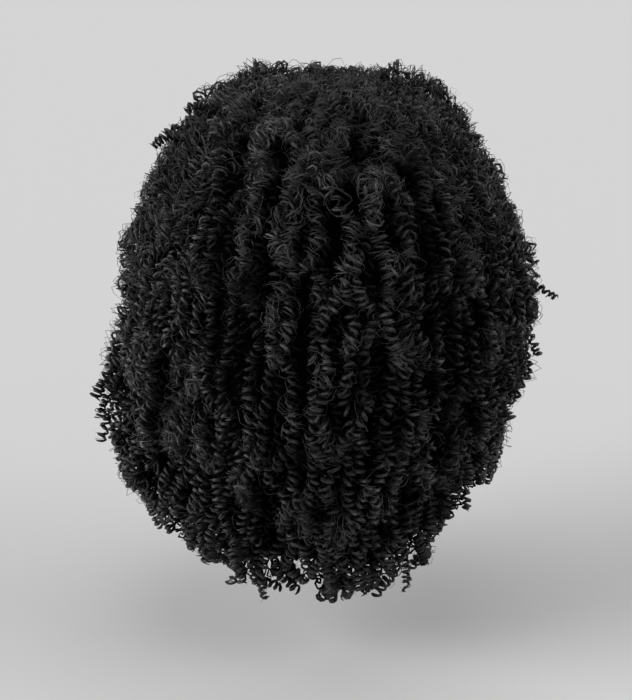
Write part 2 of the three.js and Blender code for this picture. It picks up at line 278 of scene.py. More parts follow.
@dataclass(frozen=True)
class NetFinish:
    """Black stretch net, a knitted polyamide: matt threads round small lozenge-shaped holes.

    The real mesh is about 1 mm across. It is drawn at 2.4 mm, as coarse as it needs to be to show. A thread
    takes up the edge of a cell, from its middle to where the hole begins, as shares of the cell.
    """

    name: str = "stretch_net"
    thread: str = "#242324"
    hole: str = "#0b0a0b"
    cell_mm: float = 2.4
    edge: tuple[float, float] = (0.04, 0.16)
    relief_mm: float = 0.3

    def build(self) -> bpy.types.Material:
        """Makes the material from the edges of small, nearly even cells.

        Returns:
            The new material.
        """
        material = new_material(self.name)
        place = add_node(material, "TexCoord")
        mesh = {"Scale": 1 / (self.cell_mm * MM), "Randomness": 0.35, "Vector": place.outputs["Object"]}
        cells = add_node(material, "TexVoronoi", mesh, feature="DISTANCE_TO_EDGE")
        ranges = (cells.outputs["Distance"], *self.edge, 1.0, 0.0)
        threads = add_node(material, "MapRange", dict(enumerate(ranges)))
        colours = {0: threads.outputs[0], 6: linear(self.hole), 7: linear(self.thread)}
        colour = add_node(material, "Mix", colours, data_type="RGBA")
        relief = {"Strength": 0.8, "Distance": self.relief_mm * MM}
        bump = add_node(material, "Bump", relief | {"Height": threads.outputs[0]})
        shader = add_node(
            material,
            "BsdfPrincipled",
            {
                "Base Color": colour.outputs[2],
                "Roughness": 0.8,
                "Specular IOR Level": 0.3,
                "Sheen Weight": 0.2,
                "Normal": bump.outputs[0],
            },
        )
        add_node(material, "OutputMaterial", {"Surface": shader.outputs[0]})
        return material


@dataclass(frozen=True)
class ElasticFinish:
    """Black woven elastic: fine rubber cords under polyester, which show as ribs along the band."""

    name: str = "woven_elastic"
    rib: str = "#1d1d1e"
    # The grooves between the ribs are painted darker as shade
    groove_shade: str = "#0d0d0d"
    rib_mm: float = 1.4
    relief_mm: float = 0.3

    def build(self) -> bpy.types.Material:
        """Makes the material with its ribs level, one above the other.

        Returns:
            The new material.
        """
        material = new_material(self.name)
        place = add_node(material, "TexCoord")
        # Blender's wave texture has 20 radians to one unit
        scale = 1 / (self.rib_mm * MM) / 20 * math.tau
        weave = {"Scale": scale, "Distortion": 0.4, "Vector": place.outputs["Object"]}
        ribs = add_node(material, "TexWave", weave, bands_direction="Z")
        # Painted shade in the grooves between the ribs
        colours = {0: ribs.outputs["Fac"], 6: linear(self.groove_shade), 7: linear(self.rib)}
        colour = add_node(material, "Mix", colours, data_type="RGBA")
        relief = {"Strength": 0.7, "Distance": self.relief_mm * MM}
        bump = add_node(material, "Bump", relief | {"Height": ribs.outputs["Fac"]})
        shader = add_node(
            material,
            "BsdfPrincipled",
            {
                "Base Color": colour.outputs[2],
                "Roughness": 0.75,
                "Specular IOR Level": 0.3,
                "Sheen Weight": 0.15,
                "Normal": bump.outputs[0],
            },
        )
        add_node(material, "OutputMaterial", {"Surface": shader.outputs[0]})
        return material


@dataclass(frozen=True)
class ThreadFinish:
    """Black polyester sewing thread: smooth and a little glossy."""

    name: str = "sewing_thread"
    deep: str = "#151515"
    light: str = "#2c2b2c"
    twist_mm: float = 0.8

    def build(self) -> bpy.types.Material:
        """Makes the material with the twist of the thread as its change of tone.

        Returns:
            The new material.
        """
        material = new_material(self.name)
        place = add_node(material, "TexCoord")
        ply = {"Vector": place.outputs["Object"], "Scale": 1 / (self.twist_mm * MM)}
        twist = add_node(material, "TexNoise", ply)
        colours = {0: twist.outputs["Fac"], 6: linear(self.deep), 7: linear(self.light)}
        colour = add_node(material, "Mix", colours, data_type="RGBA")
        surface = {"Base Color": colour.outputs[2], "Roughness": 0.5, "Specular IOR Level": 0.4}
        shader = add_node(material, "BsdfPrincipled", surface)
        add_node(material, "OutputMaterial", {"Surface": shader.outputs[0]})
        return material


@dataclass(frozen=True)
class FloorFinish:
    """Pale matt studio paper."""

    name: str = "studio_paper"
    colour: str = "#b9b9b9"
    grain_mm: float = 4.0
    relief_mm: float = 0.2

    def build(self) -> bpy.types.Material:
        """Makes the material with the faint tooth of the paper.

        Returns:
            The new material.
        """
        material = new_material(self.name)
        place = add_node(material, "TexCoord")
        tooth = {"Vector": place.outputs["Object"], "Scale": 1 / (self.grain_mm * MM)}
        grain = add_node(material, "TexNoise", tooth)
        relief = {"Strength": 0.1, "Distance": self.relief_mm * MM}
        bump = add_node(material, "Bump", relief | {"Height": grain.outputs["Fac"]})
        shader = add_node(
            material,
            "BsdfPrincipled",
            {
                "Base Color": linear(self.colour),
                "Roughness": 0.95,
                "Specular IOR Level": 0.05,
                "Normal": bump.outputs[0],
            },
        )
        add_node(material, "OutputMaterial", {"Surface": shader.outputs[0]})
        return material


def direction(turn: np.ndarray, angle: np.ndarray) -> np.ndarray:
    """Gives directions from the middle of the head.

    Args:
        turn: Degrees round the head from the front, towards the wearer's right.
        angle: Degrees down from the crown.

    Returns:
        Unit vectors, one row each.
    """
    t, a = np.radians(turn), np.radians(angle)
    return np.stack([np.sin(a) * np.sin(t), np.sin(a) * np.cos(t), np.cos(a)], axis=-1)


def from_head(turn: np.ndarray, angle: np.ndarray, radius: np.ndarray) -> np.ndarray:
    """Gives points at a distance from the middle of the head, in the row frame."""
    return HEAD_CENTRE + direction(turn, angle) * np.asarray(radius)[..., None]


def turn_gap(turn: np.ndarray, other: np.ndarray) -> np.ndarray:
    """Gives how far one turn lies from another, between half a turn back and half a turn on."""
    return (turn - other + FULL_TURN / 2) % FULL_TURN - FULL_TURN / 2


def ray_tree(obj: bpy.types.Object) -> BVHTree:
    """Makes the tree that rays are cast into, from an object's faces."""
    mesh = obj.data
    return BVHTree.FromPolygons([v.co for v in mesh.vertices], [p.vertices for p in mesh.polygons])


def add_object(mesh: bpy.types.Mesh, material: bpy.types.Material) -> bpy.types.Object:
    """Makes a smooth object of a finished mesh, with its name, at the origin.

    Args:
        mesh: The finished mesh, named as the piece.
        material: Its finish.

    Returns:
        The new object.
    """
    mesh.polygons.foreach_set("use_smooth", np.ones(len(mesh.polygons), bool))
    mesh.materials.append(material)
    mesh.update()
    obj = bpy.data.objects.new(mesh.name, mesh)
    bpy.context.scene.collection.objects.link(obj)
    return obj


@dataclass(frozen=True)
class Ripple:
    """A smooth random field over the head: some sine waves that close on themselves round it."""

    seed: int
    waves: int = 6
    around: int = 9
    down: float = 5.0
    SLOWEST = 0.2
    PEAK = 1.6

    def at(self, turn: np.ndarray, angle: np.ndarray) -> np.ndarray:
        """Reads the field.

        Args:
            turn: Degrees round the head.
            angle: Degrees down from the crown.

        Returns:
            Values that stay mostly between -1 and 1.
        """
        rng = np.random.default_rng(self.seed)
        t, a = np.radians(turn), np.radians(angle)
        total = np.zeros(np.broadcast(t, a).shape)
        for _ in range(self.waves):
            around = rng.integers(1, self.around + 1) * rng.choice([-1, 1])
            down = rng.uniform(self.SLOWEST, 1.0) * self.down
            total = total + np.sin(around * t + down * a + rng.uniform(0, math.tau))
        return total / math.sqrt(self.waves / 2) / self.PEAK


class RowSurface:
    """The outer and the inner surface of one CAD row, read by rays on a grid of directions."""

    STEP = 2.0
    LOWEST = 164.0
    FAR = 0.5
    NEIGHBOURS = (-2, -1, 1, 2)

    def __init__(self, obj: bpy.types.Object) -> None:
        """Reads the surfaces.

        Args:
            obj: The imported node's object.
        """
        tree = ray_tree(obj)
        self.turns = np.arange(0, FULL_TURN, self.STEP)
        self.angles = np.arange(self.STEP, self.LOWEST, self.STEP)
        shape = (len(self.turns), len(self.angles))
        outer, inner = np.full(shape, np.nan), np.full(shape, np.nan)
        centre = Vector(HEAD_CENTRE)
        for i, turn in enumerate(self.turns):
            for j, way in enumerate(direction(turn, self.angles)):
                ray = Vector(way)
                hit = tree.ray_cast(centre + ray * self.FAR, -ray)
                if hit[0] is not None and hit[3] < self.FAR:
                    outer[i, j] = self.FAR - hit[3]
                    inner[i, j] = tree.ray_cast(centre, ray)[3]
        found = ~np.isnan(outer)
        self.has = found.any(axis=1)
        places = np.arange(len(self.angles))
        first = np.where(self.has, found.argmax(axis=1), 0)
        last = np.where(self.has, found.shape[1] - 1 - found[:, ::-1].argmax(axis=1), 0)
        for i in np.flatnonzero(self.has):
            known = places[found[i]]
            outer[i] = np.interp(places, known, outer[i, known])
            inner[i] = np.interp(places, known, inner[i, known])
        self.top = self._spread(self.angles[first], np.minimum)
        self.end = self._spread(self.angles[last], np.maximum)
        self.outer = self._smooth(self._spread(outer, np.fmax))
        self.inner = self._smooth(self._spread(inner, np.fmin))

    def _spread(self, values: np.ndarray, pick: np.ufunc) -> np.ndarray:
        """Takes the ribs' values over the valleys beside them, round the head.

        Args:
            values: A value or a row of values for each turn.
            pick: Which of two values is kept.

        Returns:
            The new values.
        """
        spread = values
        for shift in self.NEIGHBOURS:
            spread = pick(spread, np.roll(values, shift, axis=0))
        return spread

    def _smooth(self, values: np.ndarray) -> np.ndarray:
        """Averages a grid over its neighbours, where they are known.

        Args:
            values: Values for each turn and angle, with gaps where none is known.

        Returns:
            The new grid.
        """
        known = ~np.isnan(values)
        filled = np.where(known, values, 0.0)
        total, weight = filled.copy(), known.astype(float)
        for shift in self.NEIGHBOURS:
            total = total + np.roll(filled, shift, axis=0)
            weight = weight + np.roll(known, shift, axis=0)
        mean = np.where(weight > 0, total / np.maximum(weight, 1), np.nan)
        padded = np.pad(mean, ((0, 0), (1, 1)), mode="edge")
        return (padded[:, :-2] + padded[:, 1:-1] + padded[:, 2:]) / 3

    def _read(self, grid: np.ndarray, turn: np.ndarray, angle: np.ndarray) -> np.ndarray:
        """Reads a grid between its places.

        Args:
            grid: Values for each turn and angle.
            turn: Degrees round the head.
            angle: Degrees down from the crown.

        Returns:
            The values there, from the nearest known turn where the row has none.
        """
        known = np.flatnonzero(self.has)
        place = (np.asarray(turn) % FULL_TURN) / self.STEP
        low = np.floor(place).astype(int) % len(self.turns)
        high = (low + 1) % len(self.turns)
        part = place - np.floor(place)
        nearest = np.arange(len(self.turns))
        if len(known) < len(self.turns):
            gap = np.abs(turn_gap(self.turns[:, None], self.turns[known]))
            nearest = known[gap.argmin(axis=1)]
        # Held just short of the last place, so that there is always one after it
        down = np.clip((np.asarray(angle) - self.angles[0]) / self.STEP, 0, len(self.angles) - 1.001)
        upper = down.astype(int)
        share = down - upper

        def column(index: np.ndarray) -> np.ndarray:
            """Reads between two angles on the nearest known turn."""
            rows = nearest[index]
            return grid[rows, upper] * (1 - share) + grid[rows, upper + 1] * share

        return column(low) * (1 - part) + column(high) * part

    def outer_at(self, turn: np.ndarray, angle: np.ndarray) -> np.ndarray:
        """Distance from the middle of the head to the row's outside."""
        return self._read(self.outer, turn, angle)

    def inner_at(self, turn: np.ndarray, angle: np.ndarray) -> np.ndarray:
        """Distance from the middle of the head to the row's inside."""
        return self._read(self.inner, turn, angle)

    def _nearest(self, values: np.ndarray, turn: float) -> float:
        """Reads one value for each turn at the nearest turn that the row has.

        Args:
            values: A value for each turn.
            turn: Degrees round the head.

        Returns:
            The value there.
        """
        known = np.flatnonzero(self.has)
        gap = np.abs(turn_gap(self.turns[known], turn))
        return float(values[known[gap.argmin()]])

    def top_at(self, turn: float) -> float:
        """Angle at which the row starts."""
        return self._nearest(self.top, turn)

    def end_at(self, turn: float) -> float:
        """Angle at which the row ends."""
        return self._nearest(self.end, turn)


@dataclass(frozen=True)
class Strand:
    """How one kind of strand is drawn. Lengths are in millimetres.

    Its phase, lift and slip set it off from the lock's spring: round it, outwards, and more or less along
    the way. Its tangle is the size of its random offsets. Each turn has a painted highlight on the lock's
    outer side
    and painted shade round its sides: its flank is the share of its lightness that is left where a turn goes
    round the side of the lock, and its focus tells how fast the painted highlight falls off from the outer
    side to there.
    """

    width: float
    thickness: float
    steps: int
    tangle: float
    phase: float = 0.0
    lift: float = 0.0
    slip: float = 0.0
    flank: float = 0.1
    focus: float = 2.0


# The spring curl itself, the layer under it, the strands that run beside it, the fine hairs that make a
# lock look soft, a single spiral, and a spring's end at the hem. Fine hairs are far thinner than this in
# truth, and are drawn as thick as they need to be to show.
SPRING = Strand(width=2.2, thickness=1.3, steps=7, tangle=0.35, flank=0.04, focus=6.0)
UNDER = Strand(width=1.9, thickness=1.0, steps=4, tangle=0.4)
BESIDE = Strand(width=0.6, thickness=0.45, steps=6, tangle=0.6, phase=0.9, lift=0.8, slip=0.5, flank=0.2)
FUZZ = Strand(width=0.28, thickness=0.24, steps=6, tangle=1.7, phase=3.0, lift=0.9, slip=1.0, flank=0.7)
FREE = Strand(width=1.7, thickness=1.0, steps=12, tangle=0.45)
RINGLET = Strand(width=2.3, thickness=1.1, steps=9, tangle=0.25)

# Distance from a lock's axis to its outside
LOCK_REACH_MM = 3.9


@dataclass(frozen=True)
class Winding:
    """What the strands of one lock share. Lengths are in millimetres."""

    radius: float = 3.1
    pitch: float = 5.5
    looseness: float = 0.15
    hand: float = 1.0
    lag: tuple[float, float, float, float] = (0.0, 0.0, 0.0, 0.0)
    tip_turns: float = 1.5
    tip_radius: float = 0.7
    LEAST_LOOSENESS, FLUFF_LOOSENS, FLUFF_WIDENS = 0.13, 1.9, 0.1
    WIDTHS = (0.88, 1.08)
    FINE_OUT_MM, FINE_FLUFF_MM, FINE_STRETCH, FINE_LOOSENESS = 0.9, 0.4, 1.9, 0.5

    def loosened(self, fluff: float) -> Winding:
        """Gives the winding of the finest hairs of a lock, which lie further out and are less tight."""
        radius = self.radius + self.FINE_OUT_MM + self.FINE_FLUFF_MM * fluff
        pitch = self.FINE_STRETCH * self.pitch
        return replace(self, radius=radius, pitch=pitch, looseness=self.FINE_LOOSENESS)


def random_winding(rng: np.random.Generator, fluff: float = 0.0) -> Winding:
    """Draws a lock's winding.

    Args:
        rng: Random numbers.
        fluff: How far the lock has come loose, from 0 to 1.

    Returns:
        A winding to either side, a little tighter or wider than the last.
    """
    looseness = Winding.LEAST_LOOSENESS * (1 + Winding.FLUFF_LOOSENS * fluff)
    return Winding(
        radius=Winding.radius * (1 + Winding.FLUFF_WIDENS * fluff) * rng.uniform(*Winding.WIDTHS),
        pitch=Winding.pitch * rng.uniform(1 - looseness, 1 + looseness),
        looseness=looseness,
        hand=rng.choice([-1.0, 1.0]),
        lag=tuple(rng.uniform(0, math.tau, 4)),
    )


@dataclass
class CurlBatch:
    """Gathers curls as arrays and joins them into one mesh. Each strand is a closed, three-sided band.

    Its waves have rates, in radians for each turn of the spring, and shares or sizes.
    """

    SIDES = 3
    FEWEST_STEPS = 4
    SLOW, QUICK = (0.25, 0.6), (0.9, 1.7)
    SLOW_SHARE, QUICK_SHARE = 0.65, 0.35
    UNEVEN_WAVES = ((0.9, 0.6), (2.3, 0.4))
    SWING, SWING_RATE = 1.2, 1.3
    SLIP_RATE = 0.8
    TAPER_STEPS, TAPER_TIP, TAPER_POWER = 3, 0.12, 0.7
    seed: int
    points: list[np.ndarray] = field(default_factory=list)
    along: list[np.ndarray] = field(default_factory=list)
    tones: list[np.ndarray] = field(default_factory=list)

    def __post_init__(self) -> None:
        """Starts the batch's own random numbers."""
        self.rng = np.random.default_rng(self.seed)

    def wander(self, turns: np.ndarray, tangle: float) -> np.ndarray:
        """Gives three smooth random offsets along a strand.

        Args:
            turns: How many turns the strand has made at each point.
            tangle: Their size in millimetres.

        Returns:
            Offsets outwards, sideways and along, one row for each point.
        """
        slow, quick = self.rng.uniform(*self.SLOW, 3), self.rng.uniform(*self.QUICK, 3)
        lag = self.rng.uniform(0, math.tau, (2, 3))
        phase = turns[:, None] * math.tau
        slow_wave = self.SLOW_SHARE * np.sin(phase * slow + lag[0])
        return tangle * MM * (slow_wave + self.QUICK_SHARE * np.sin(phase * quick + lag[1]))

    def wind(
        self,
        axis: np.ndarray,
        strand: Strand,
        lock: Winding,
        tone: float | np.ndarray = 1.0,
        part: float = 1.0,
    ) -> None:
        """Winds one strand round a line.

        Args:
            axis: Points of the line that the lock follows.
            strand: How the strand is drawn.
            lock: How the lock is wound.
            tone: How light the strand is, from 0 to 1, all along or at each point of the line.
            part: Share of the line that the strand goes along. It lies anywhere on the line.
        """
        rng = self.rng
        reach = np.concatenate([[0.0], np.cumsum(np.linalg.norm(np.diff(axis, axis=0), axis=1))])
        first = rng.uniform(0, 1 - part) if part < 1 else 0.0
        all_turns = reach[-1] / (lock.pitch * MM)
        count = int(all_turns * part * strand.steps)
        if count < self.FEWEST_STEPS:
            return
        way = np.linspace(first, first + part, count + 1)
        line = np.stack([np.interp(way * reach[-1], reach, axis[:, k]) for k in range(3)], axis=1)
        tangent = np.gradient(line, axis=0)
        tangent /= np.linalg.norm(tangent, axis=1, keepdims=True)
        out = line - HEAD_CENTRE
        out -= (out * tangent).sum(axis=1, keepdims=True) * tangent
        out /= np.linalg.norm(out, axis=1, keepdims=True)
        side = np.cross(tangent, out)
        turns = way * all_turns
        waves = zip(self.UNEVEN_WAVES, lock.lag)
        uneven = sum(np.sin(turns * rate + lag) * share for (rate, share), lag in waves)
        swing = np.sin(turns * self.SWING_RATE + lock.lag[2])
        phase = turns * math.tau + self.SWING * lock.looseness * swing * math.tau
        phase = phase + rng.uniform(-1, 1) * strand.phase
        phase = phase + strand.slip * np.sin(turns * self.SLIP_RATE + rng.uniform(0, 6))
        phase = lock.hand * (phase + lock.lag[3])
        from_tip = np.clip((1 - way) * all_turns / lock.tip_turns, 0, 1)
        radius = (lock.radius * (1 + lock.looseness * uneven) + rng.uniform(-1, 1) * strand.lift) * MM
        radius = radius * (lock.tip_radius + (1 - lock.tip_radius) * from_tip)
        spoke = np.cos(phase)[:, None] * out + np.sin(phase)[:, None] * side
        stray = self.wander(turns, strand.tangle * (1 + 2 * lock.looseness))
        course = line + radius[:, None] * spoke
        course = course + stray[:, :1] * out + stray[:, 1:2] * side + stray[:, 2:] * tangent
        ahead = np.gradient(course, axis=0)
        ahead /= np.linalg.norm(ahead, axis=1, keepdims=True)
        across = np.cross(ahead, spoke)
        across /= np.linalg.norm(across, axis=1, keepdims=True)
        place = np.arange(count + 1)
        from_end = np.minimum(place, count - place) / self.TAPER_STEPS
        ends = np.clip(from_end, self.TAPER_TIP, 1)[:, None] ** self.TAPER_POWER
        half = strand.width * MM / 2 * ends
        thick = strand.thickness * MM * ends
        rings = np.stack(
            [
                course + spoke * thick / 2,
                course + across * half - spoke * thick / 2,
                course - across * half - spoke * thick / 2,
            ],
            axis=1,
        )
        length = np.concatenate([[0.0], np.cumsum(np.linalg.norm(np.diff(course, axis=0), axis=1))])
        self.points.append(rings.reshape(-1, 3))
        self.along.append(length / MM)
        # Painted highlight and shade: the outer side of each turn is painted lighter and its flanks darker
        shades = np.interp(way * reach[-1], reach, np.broadcast_to(tone, reach.shape))
        shades = shades * (strand.flank + (1 - strand.flank) * np.clip(np.cos(phase), 0, 1) ** strand.focus)
        self.tones.append(np.repeat(shades, self.SIDES))

    @property
    def triangles(self) -> int:
        """Number of triangles gathered so far."""
        return sum((len(a) - 1) * self.SIDES * 2 + 2 for a in self.along)

    def build(self, name: str, material: bpy.types.Material) -> bpy.types.Object:
        """Joins the curls into one mesh object.

        Args:
            name: The piece's name.
            material: Its finish.

        Returns:
            The new object, at the origin.
        """
        quads, ends, quad_uv, start = [], [], [], 0
        for along in self.along:
            count = len(along)
            ring = np.arange(count - 1)[:, None] * self.SIDES
            side = np.arange(self.SIDES)[None, :]
            following = (side + 1) % self.SIDES
            faces = np.stack(
                [ring + side, ring + following, ring + self.SIDES + following, ring + self.SIDES + side],
                axis=-1,
            )
            quads.append(start + faces.reshape(-1, 4))
            last = start + (count - 1) * self.SIDES
            ends.append([[start, start + 2, start + 1], [last, last + 1, last + 2]])
            u0, u1 = along[:-1, None], along[1:, None]
            v0, v1 = side / self.SIDES, (side + 1) / self.SIDES
            corner = [np.broadcast_to(c, (count - 1, self.SIDES)) for c in (u0, v0, u0, v1, u1, v1, u1, v0)]
            quad_uv.append(np.stack(corner, axis=-1).reshape(-1, 2))
            start += count * self.SIDES
        quad_loops = np.concatenate(quads)
        end_loops = np.array(ends).reshape(-1, 3)
        mesh = bpy.data.meshes.new(name)
        vertices = np.concatenate(self.points)
        loops = np.concatenate([quad_loops.ravel(), end_loops.ravel()])
        sizes = np.concatenate([np.full(len(quad_loops), 4), np.full(len(end_loops), 3)])
        starts = np.concatenate([[0], np.cumsum(sizes)[:-1]])
        mesh.vertices.add(len(vertices))
        mesh.vertices.foreach_set("co", vertices.ravel())
        mesh.loops.add(len(loops))
        mesh.loops.foreach_set("vertex_index", loops)
        mesh.polygons.add(len(sizes))
        mesh.polygons.foreach_set("loop_start", starts)
        uv = np.zeros((len(loops), 2))
        uv[: len(quad_loops) * 4] = np.concatenate(quad_uv)
        mesh.uv_layers.new(name="along_strand").data.foreach_set("uv", uv.ravel())
        # Each strand's tone, with its painted highlight, painted shade and painted light
        tone = mesh.attributes.new("tone", "FLOAT", "POINT")
        tone.data.foreach_set("value", np.concatenate(self.tones))
        mesh.update(calc_edges=True)
        return add_object(mesh, material)


def span_turns(span: Span, margin: float = 0.0) -> tuple[float, float]:
    """Gives the first and the last turn of a span, in degrees, with a margin off its two ends.

    Args:
        span: Which part of the head.
        margin: Degrees that are left off at each end.

    Returns:
        Both turns, from the front towards the wearer's right.
    """
    if span is Span.RING:
        return 0.0, FULL_TURN
    if span is Span.FOREHEAD:
        return -FACE_HALF_TURN + margin, FACE_HALF_TURN - margin
    return FACE_HALF_TURN + margin, FULL_TURN - FACE_HALF_TURN - margin


def smooth_step(value: np.ndarray) -> np.ndarray:
    """Eases values from 0 to 1, and holds them there outside that range."""
    held = np.clip(value, 0, 1)
    return held * held * (3 - 2 * held)


def settle(obj: bpy.types.Object, slot: str, *nodes: str) -> bpy.types.Object:
    """Joins a finished piece to the frame.

    Args:
        obj: The piece, in its place.
        slot: Name of a material slot, which is not used.
        *nodes: CAD nodes that it stands for.

    Returns:
        The same piece.
    """
    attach(obj, "root")
    if nodes:
        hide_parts(*nodes)
    return obj


def shell_object(
    name: str, outer: np.ndarray, inner: np.ndarray, closed: bool, material: bpy.types.Material
) -> bpy.types.Object:
    """Joins an outer and an inner grid of points into one closed shell.

    Args:
        name: The piece's name.
        outer: Points of the outside, by turn and by angle from the top down.
        inner: Points of the inside, likewise.
        closed: Whether the grids close on themselves round the head.
        material: The shell's finish.

    Returns:
        The new object, at the origin.
    """
    around, down = outer.shape[:2]
    points = np.concatenate([outer.reshape(-1, 3), inner.reshape(-1, 3)])
    number = np.arange(around * down).reshape(around, down)
    back = number + around * down
    if closed:
        number = np.concatenate([number, number[:1]])
        back = np.concatenate([back, back[:1]])

    def sheet(grid: np.ndarray) -> np.ndarray:
        """Lists the quads of a grid, wound one way."""
        return np.stack([grid[:-1, :-1], grid[:-1, 1:], grid[1:, 1:], grid[1:, :-1]], axis=-1).reshape(-1, 4)

    faces = [sheet(number), sheet(back)[:, ::-1]]
    faces.append(sheet(np.stack([back[:, 0], number[:, 0]], axis=1)))
    faces.append(sheet(np.stack([number[:, -1], back[:, -1]], axis=1)))
    if not closed:
        faces.append(sheet(np.stack([back[0], number[0]])))
        faces.append(sheet(np.stack([number[-1], back[-1]])))
    mesh = bpy.data.meshes.new(name)
    mesh.from_pydata(points.tolist(), [], np.concatenate(faces).tolist())
    return add_object(mesh, material)


@dataclass(frozen=True)
class Fold:
    """A stretch where the hair lies deeper than round it, or stands out further.

    It runs from one place on the head to another. Turns are degrees round the head and angles are degrees
    down from the crown. Its depth is less than nothing where the hair stands out.
    """

    turn: float
    angle: float
    end_turn: float
    end_angle: float
    width_mm: float
    depth_mm: float


# The partings between clumps of locks, where the locks lie deeper and are painted darker as shade, and the
# tufts that stand out, from the crown down
FOLDS = (
    Fold(229, 24, 215, 47, 9.0, 13.0),
    Fold(214, 48, 209, 80, 10.0, 12.0),
    Fold(208, 82, 206, 108, 13.0, 10.0),
    Fold(201, 38, 194, 54, 5.0, 5.0),
    Fold(165, 30, 171, 43, 6.0, 8.0),
    Fold(150, 42, 150, 50, 7.0, 6.0),
    Fold(173, 50, 168, 78, 5.0, 6.0),
    Fold(178, 60, 178, 69, 5.0, 7.0),
    Fold(198, 68, 199, 92, 6.0, 7.0),
    Fold(149, 60, 153, 76, 8.0, 8.0),
    Fold(120, 70, 119, 80, 8.0, 5.0),
    Fold(185, 82, 185, 90, 6.0, 7.0),
    Fold(167, 94, 167, 103, 9.0, 9.0),
    Fold(196, 97, 190, 125, 9.0, 8.0),
    Fold(147, 82, 144, 119, 11.0, 8.0),
    Fold(137, 86, 138, 118, 10.0, 7.0),
    Fold(166, 109, 165, 117, 10.0, 6.0),
    Fold(230, 100, 234, 132, 9.0, 7.0),
    Fold(198, 130, 199, 144, 8.0, 8.0),
    Fold(16, 17, 20, 22, 9.0, -3.0),
    Fold(46, 18, 62, 22, 14.0, -6.0),
    Fold(70, 27, 78, 40, 14.0, -4.0),
    Fold(300, 22, 278, 36, 22.0, -6.0),
    Fold(272, 68, 270, 94, 24.0, -5.0),
    Fold(269, 103, 268, 111, 9.0, -5.0),
    Fold(257, 124, 252, 133, 14.0, -9.0),
    Fold(76, 33, 70, 38, 9.0, -5.0),
    Fold(80, 60, 80, 66, 9.0, -5.0),
    Fold(96, 64, 100, 70, 18.0, -3.0),
    Fold(268, 108, 264, 122, 16.0, -3.0),
    Fold(95, 82, 93, 100, 16.0, -3.5),
    Fold(110, 107, 114, 118, 22.0, 6.0),
)


@dataclass(frozen=True)
class Relief:
    """How far the locks sink below the rows' outside, in soft clumps and in the folds above."""

    folds: tuple[Fold, ...] = FOLDS
    clumps: Ripple = Ripple(23, waves=12, around=30, down=26.0)
    clump_mm: float = 2.6
    clump_rest: float = 0.7
    near_mm: float = 125.0
    narrowest: float = 0.3
    fade_mm: float = 8.0
    pull_mm: float = 5.0

    def across_mm(self, angle: np.ndarray) -> np.ndarray:
        """Gives the length of one degree round the head, for angles down from the crown."""
        narrowed = np.maximum(np.sin(np.radians(angle)), self.narrowest)
        return np.radians(1.0) * self.near_mm * narrowed

    def sink(self, turn: np.ndarray, angle: np.ndarray) -> np.ndarray:
        """Gives the depth of the locks below the rows' outside, in millimetres.

        Args:
            turn: Degrees round the head.
            angle: Degrees down from the crown.

        Returns:
            Depths, less than nothing where the hair stands out.
        """
        total = self.clump_mm * (self.clump_rest + np.clip(self.clumps.at(turn, angle), -1, 1))
        for fold in self.folds:
            share = (angle - fold.angle) / (fold.end_angle - fold.angle)
            middle = fold.turn + np.clip(share, 0, 1) * (fold.end_turn - fold.turn)
            gap = turn_gap(turn, middle) * self.across_mm(angle)
            fade = self.fade_mm / (self.near_mm * math.radians(abs(fold.end_angle - fold.angle)))
            inside = smooth_step(1 + share / fade) * smooth_step(1 + (1 - share) / fade)
            total = total + fold.depth_mm * inside * np.exp(-((gap / fold.width_mm) ** 2))
        return total

    def lean(self, turn: np.ndarray, angle: np.ndarray) -> np.ndarray:
        """Gives how far the locks lean out of the folds towards the clumps beside them, in degrees.

        Args:
            turn: Degrees round the head.
            angle: Degrees down from the crown.

        Returns:
            Degrees round the head.
        """
        step = 1.0
        rise = self.sink(turn - step, angle) - self.sink(turn + step, angle)
        slope = rise / (2 * step * self.across_mm(angle))
        return np.clip(slope, -1, 1) * self.pull_mm / self.across_mm(angle)


RELIEF = Relief()


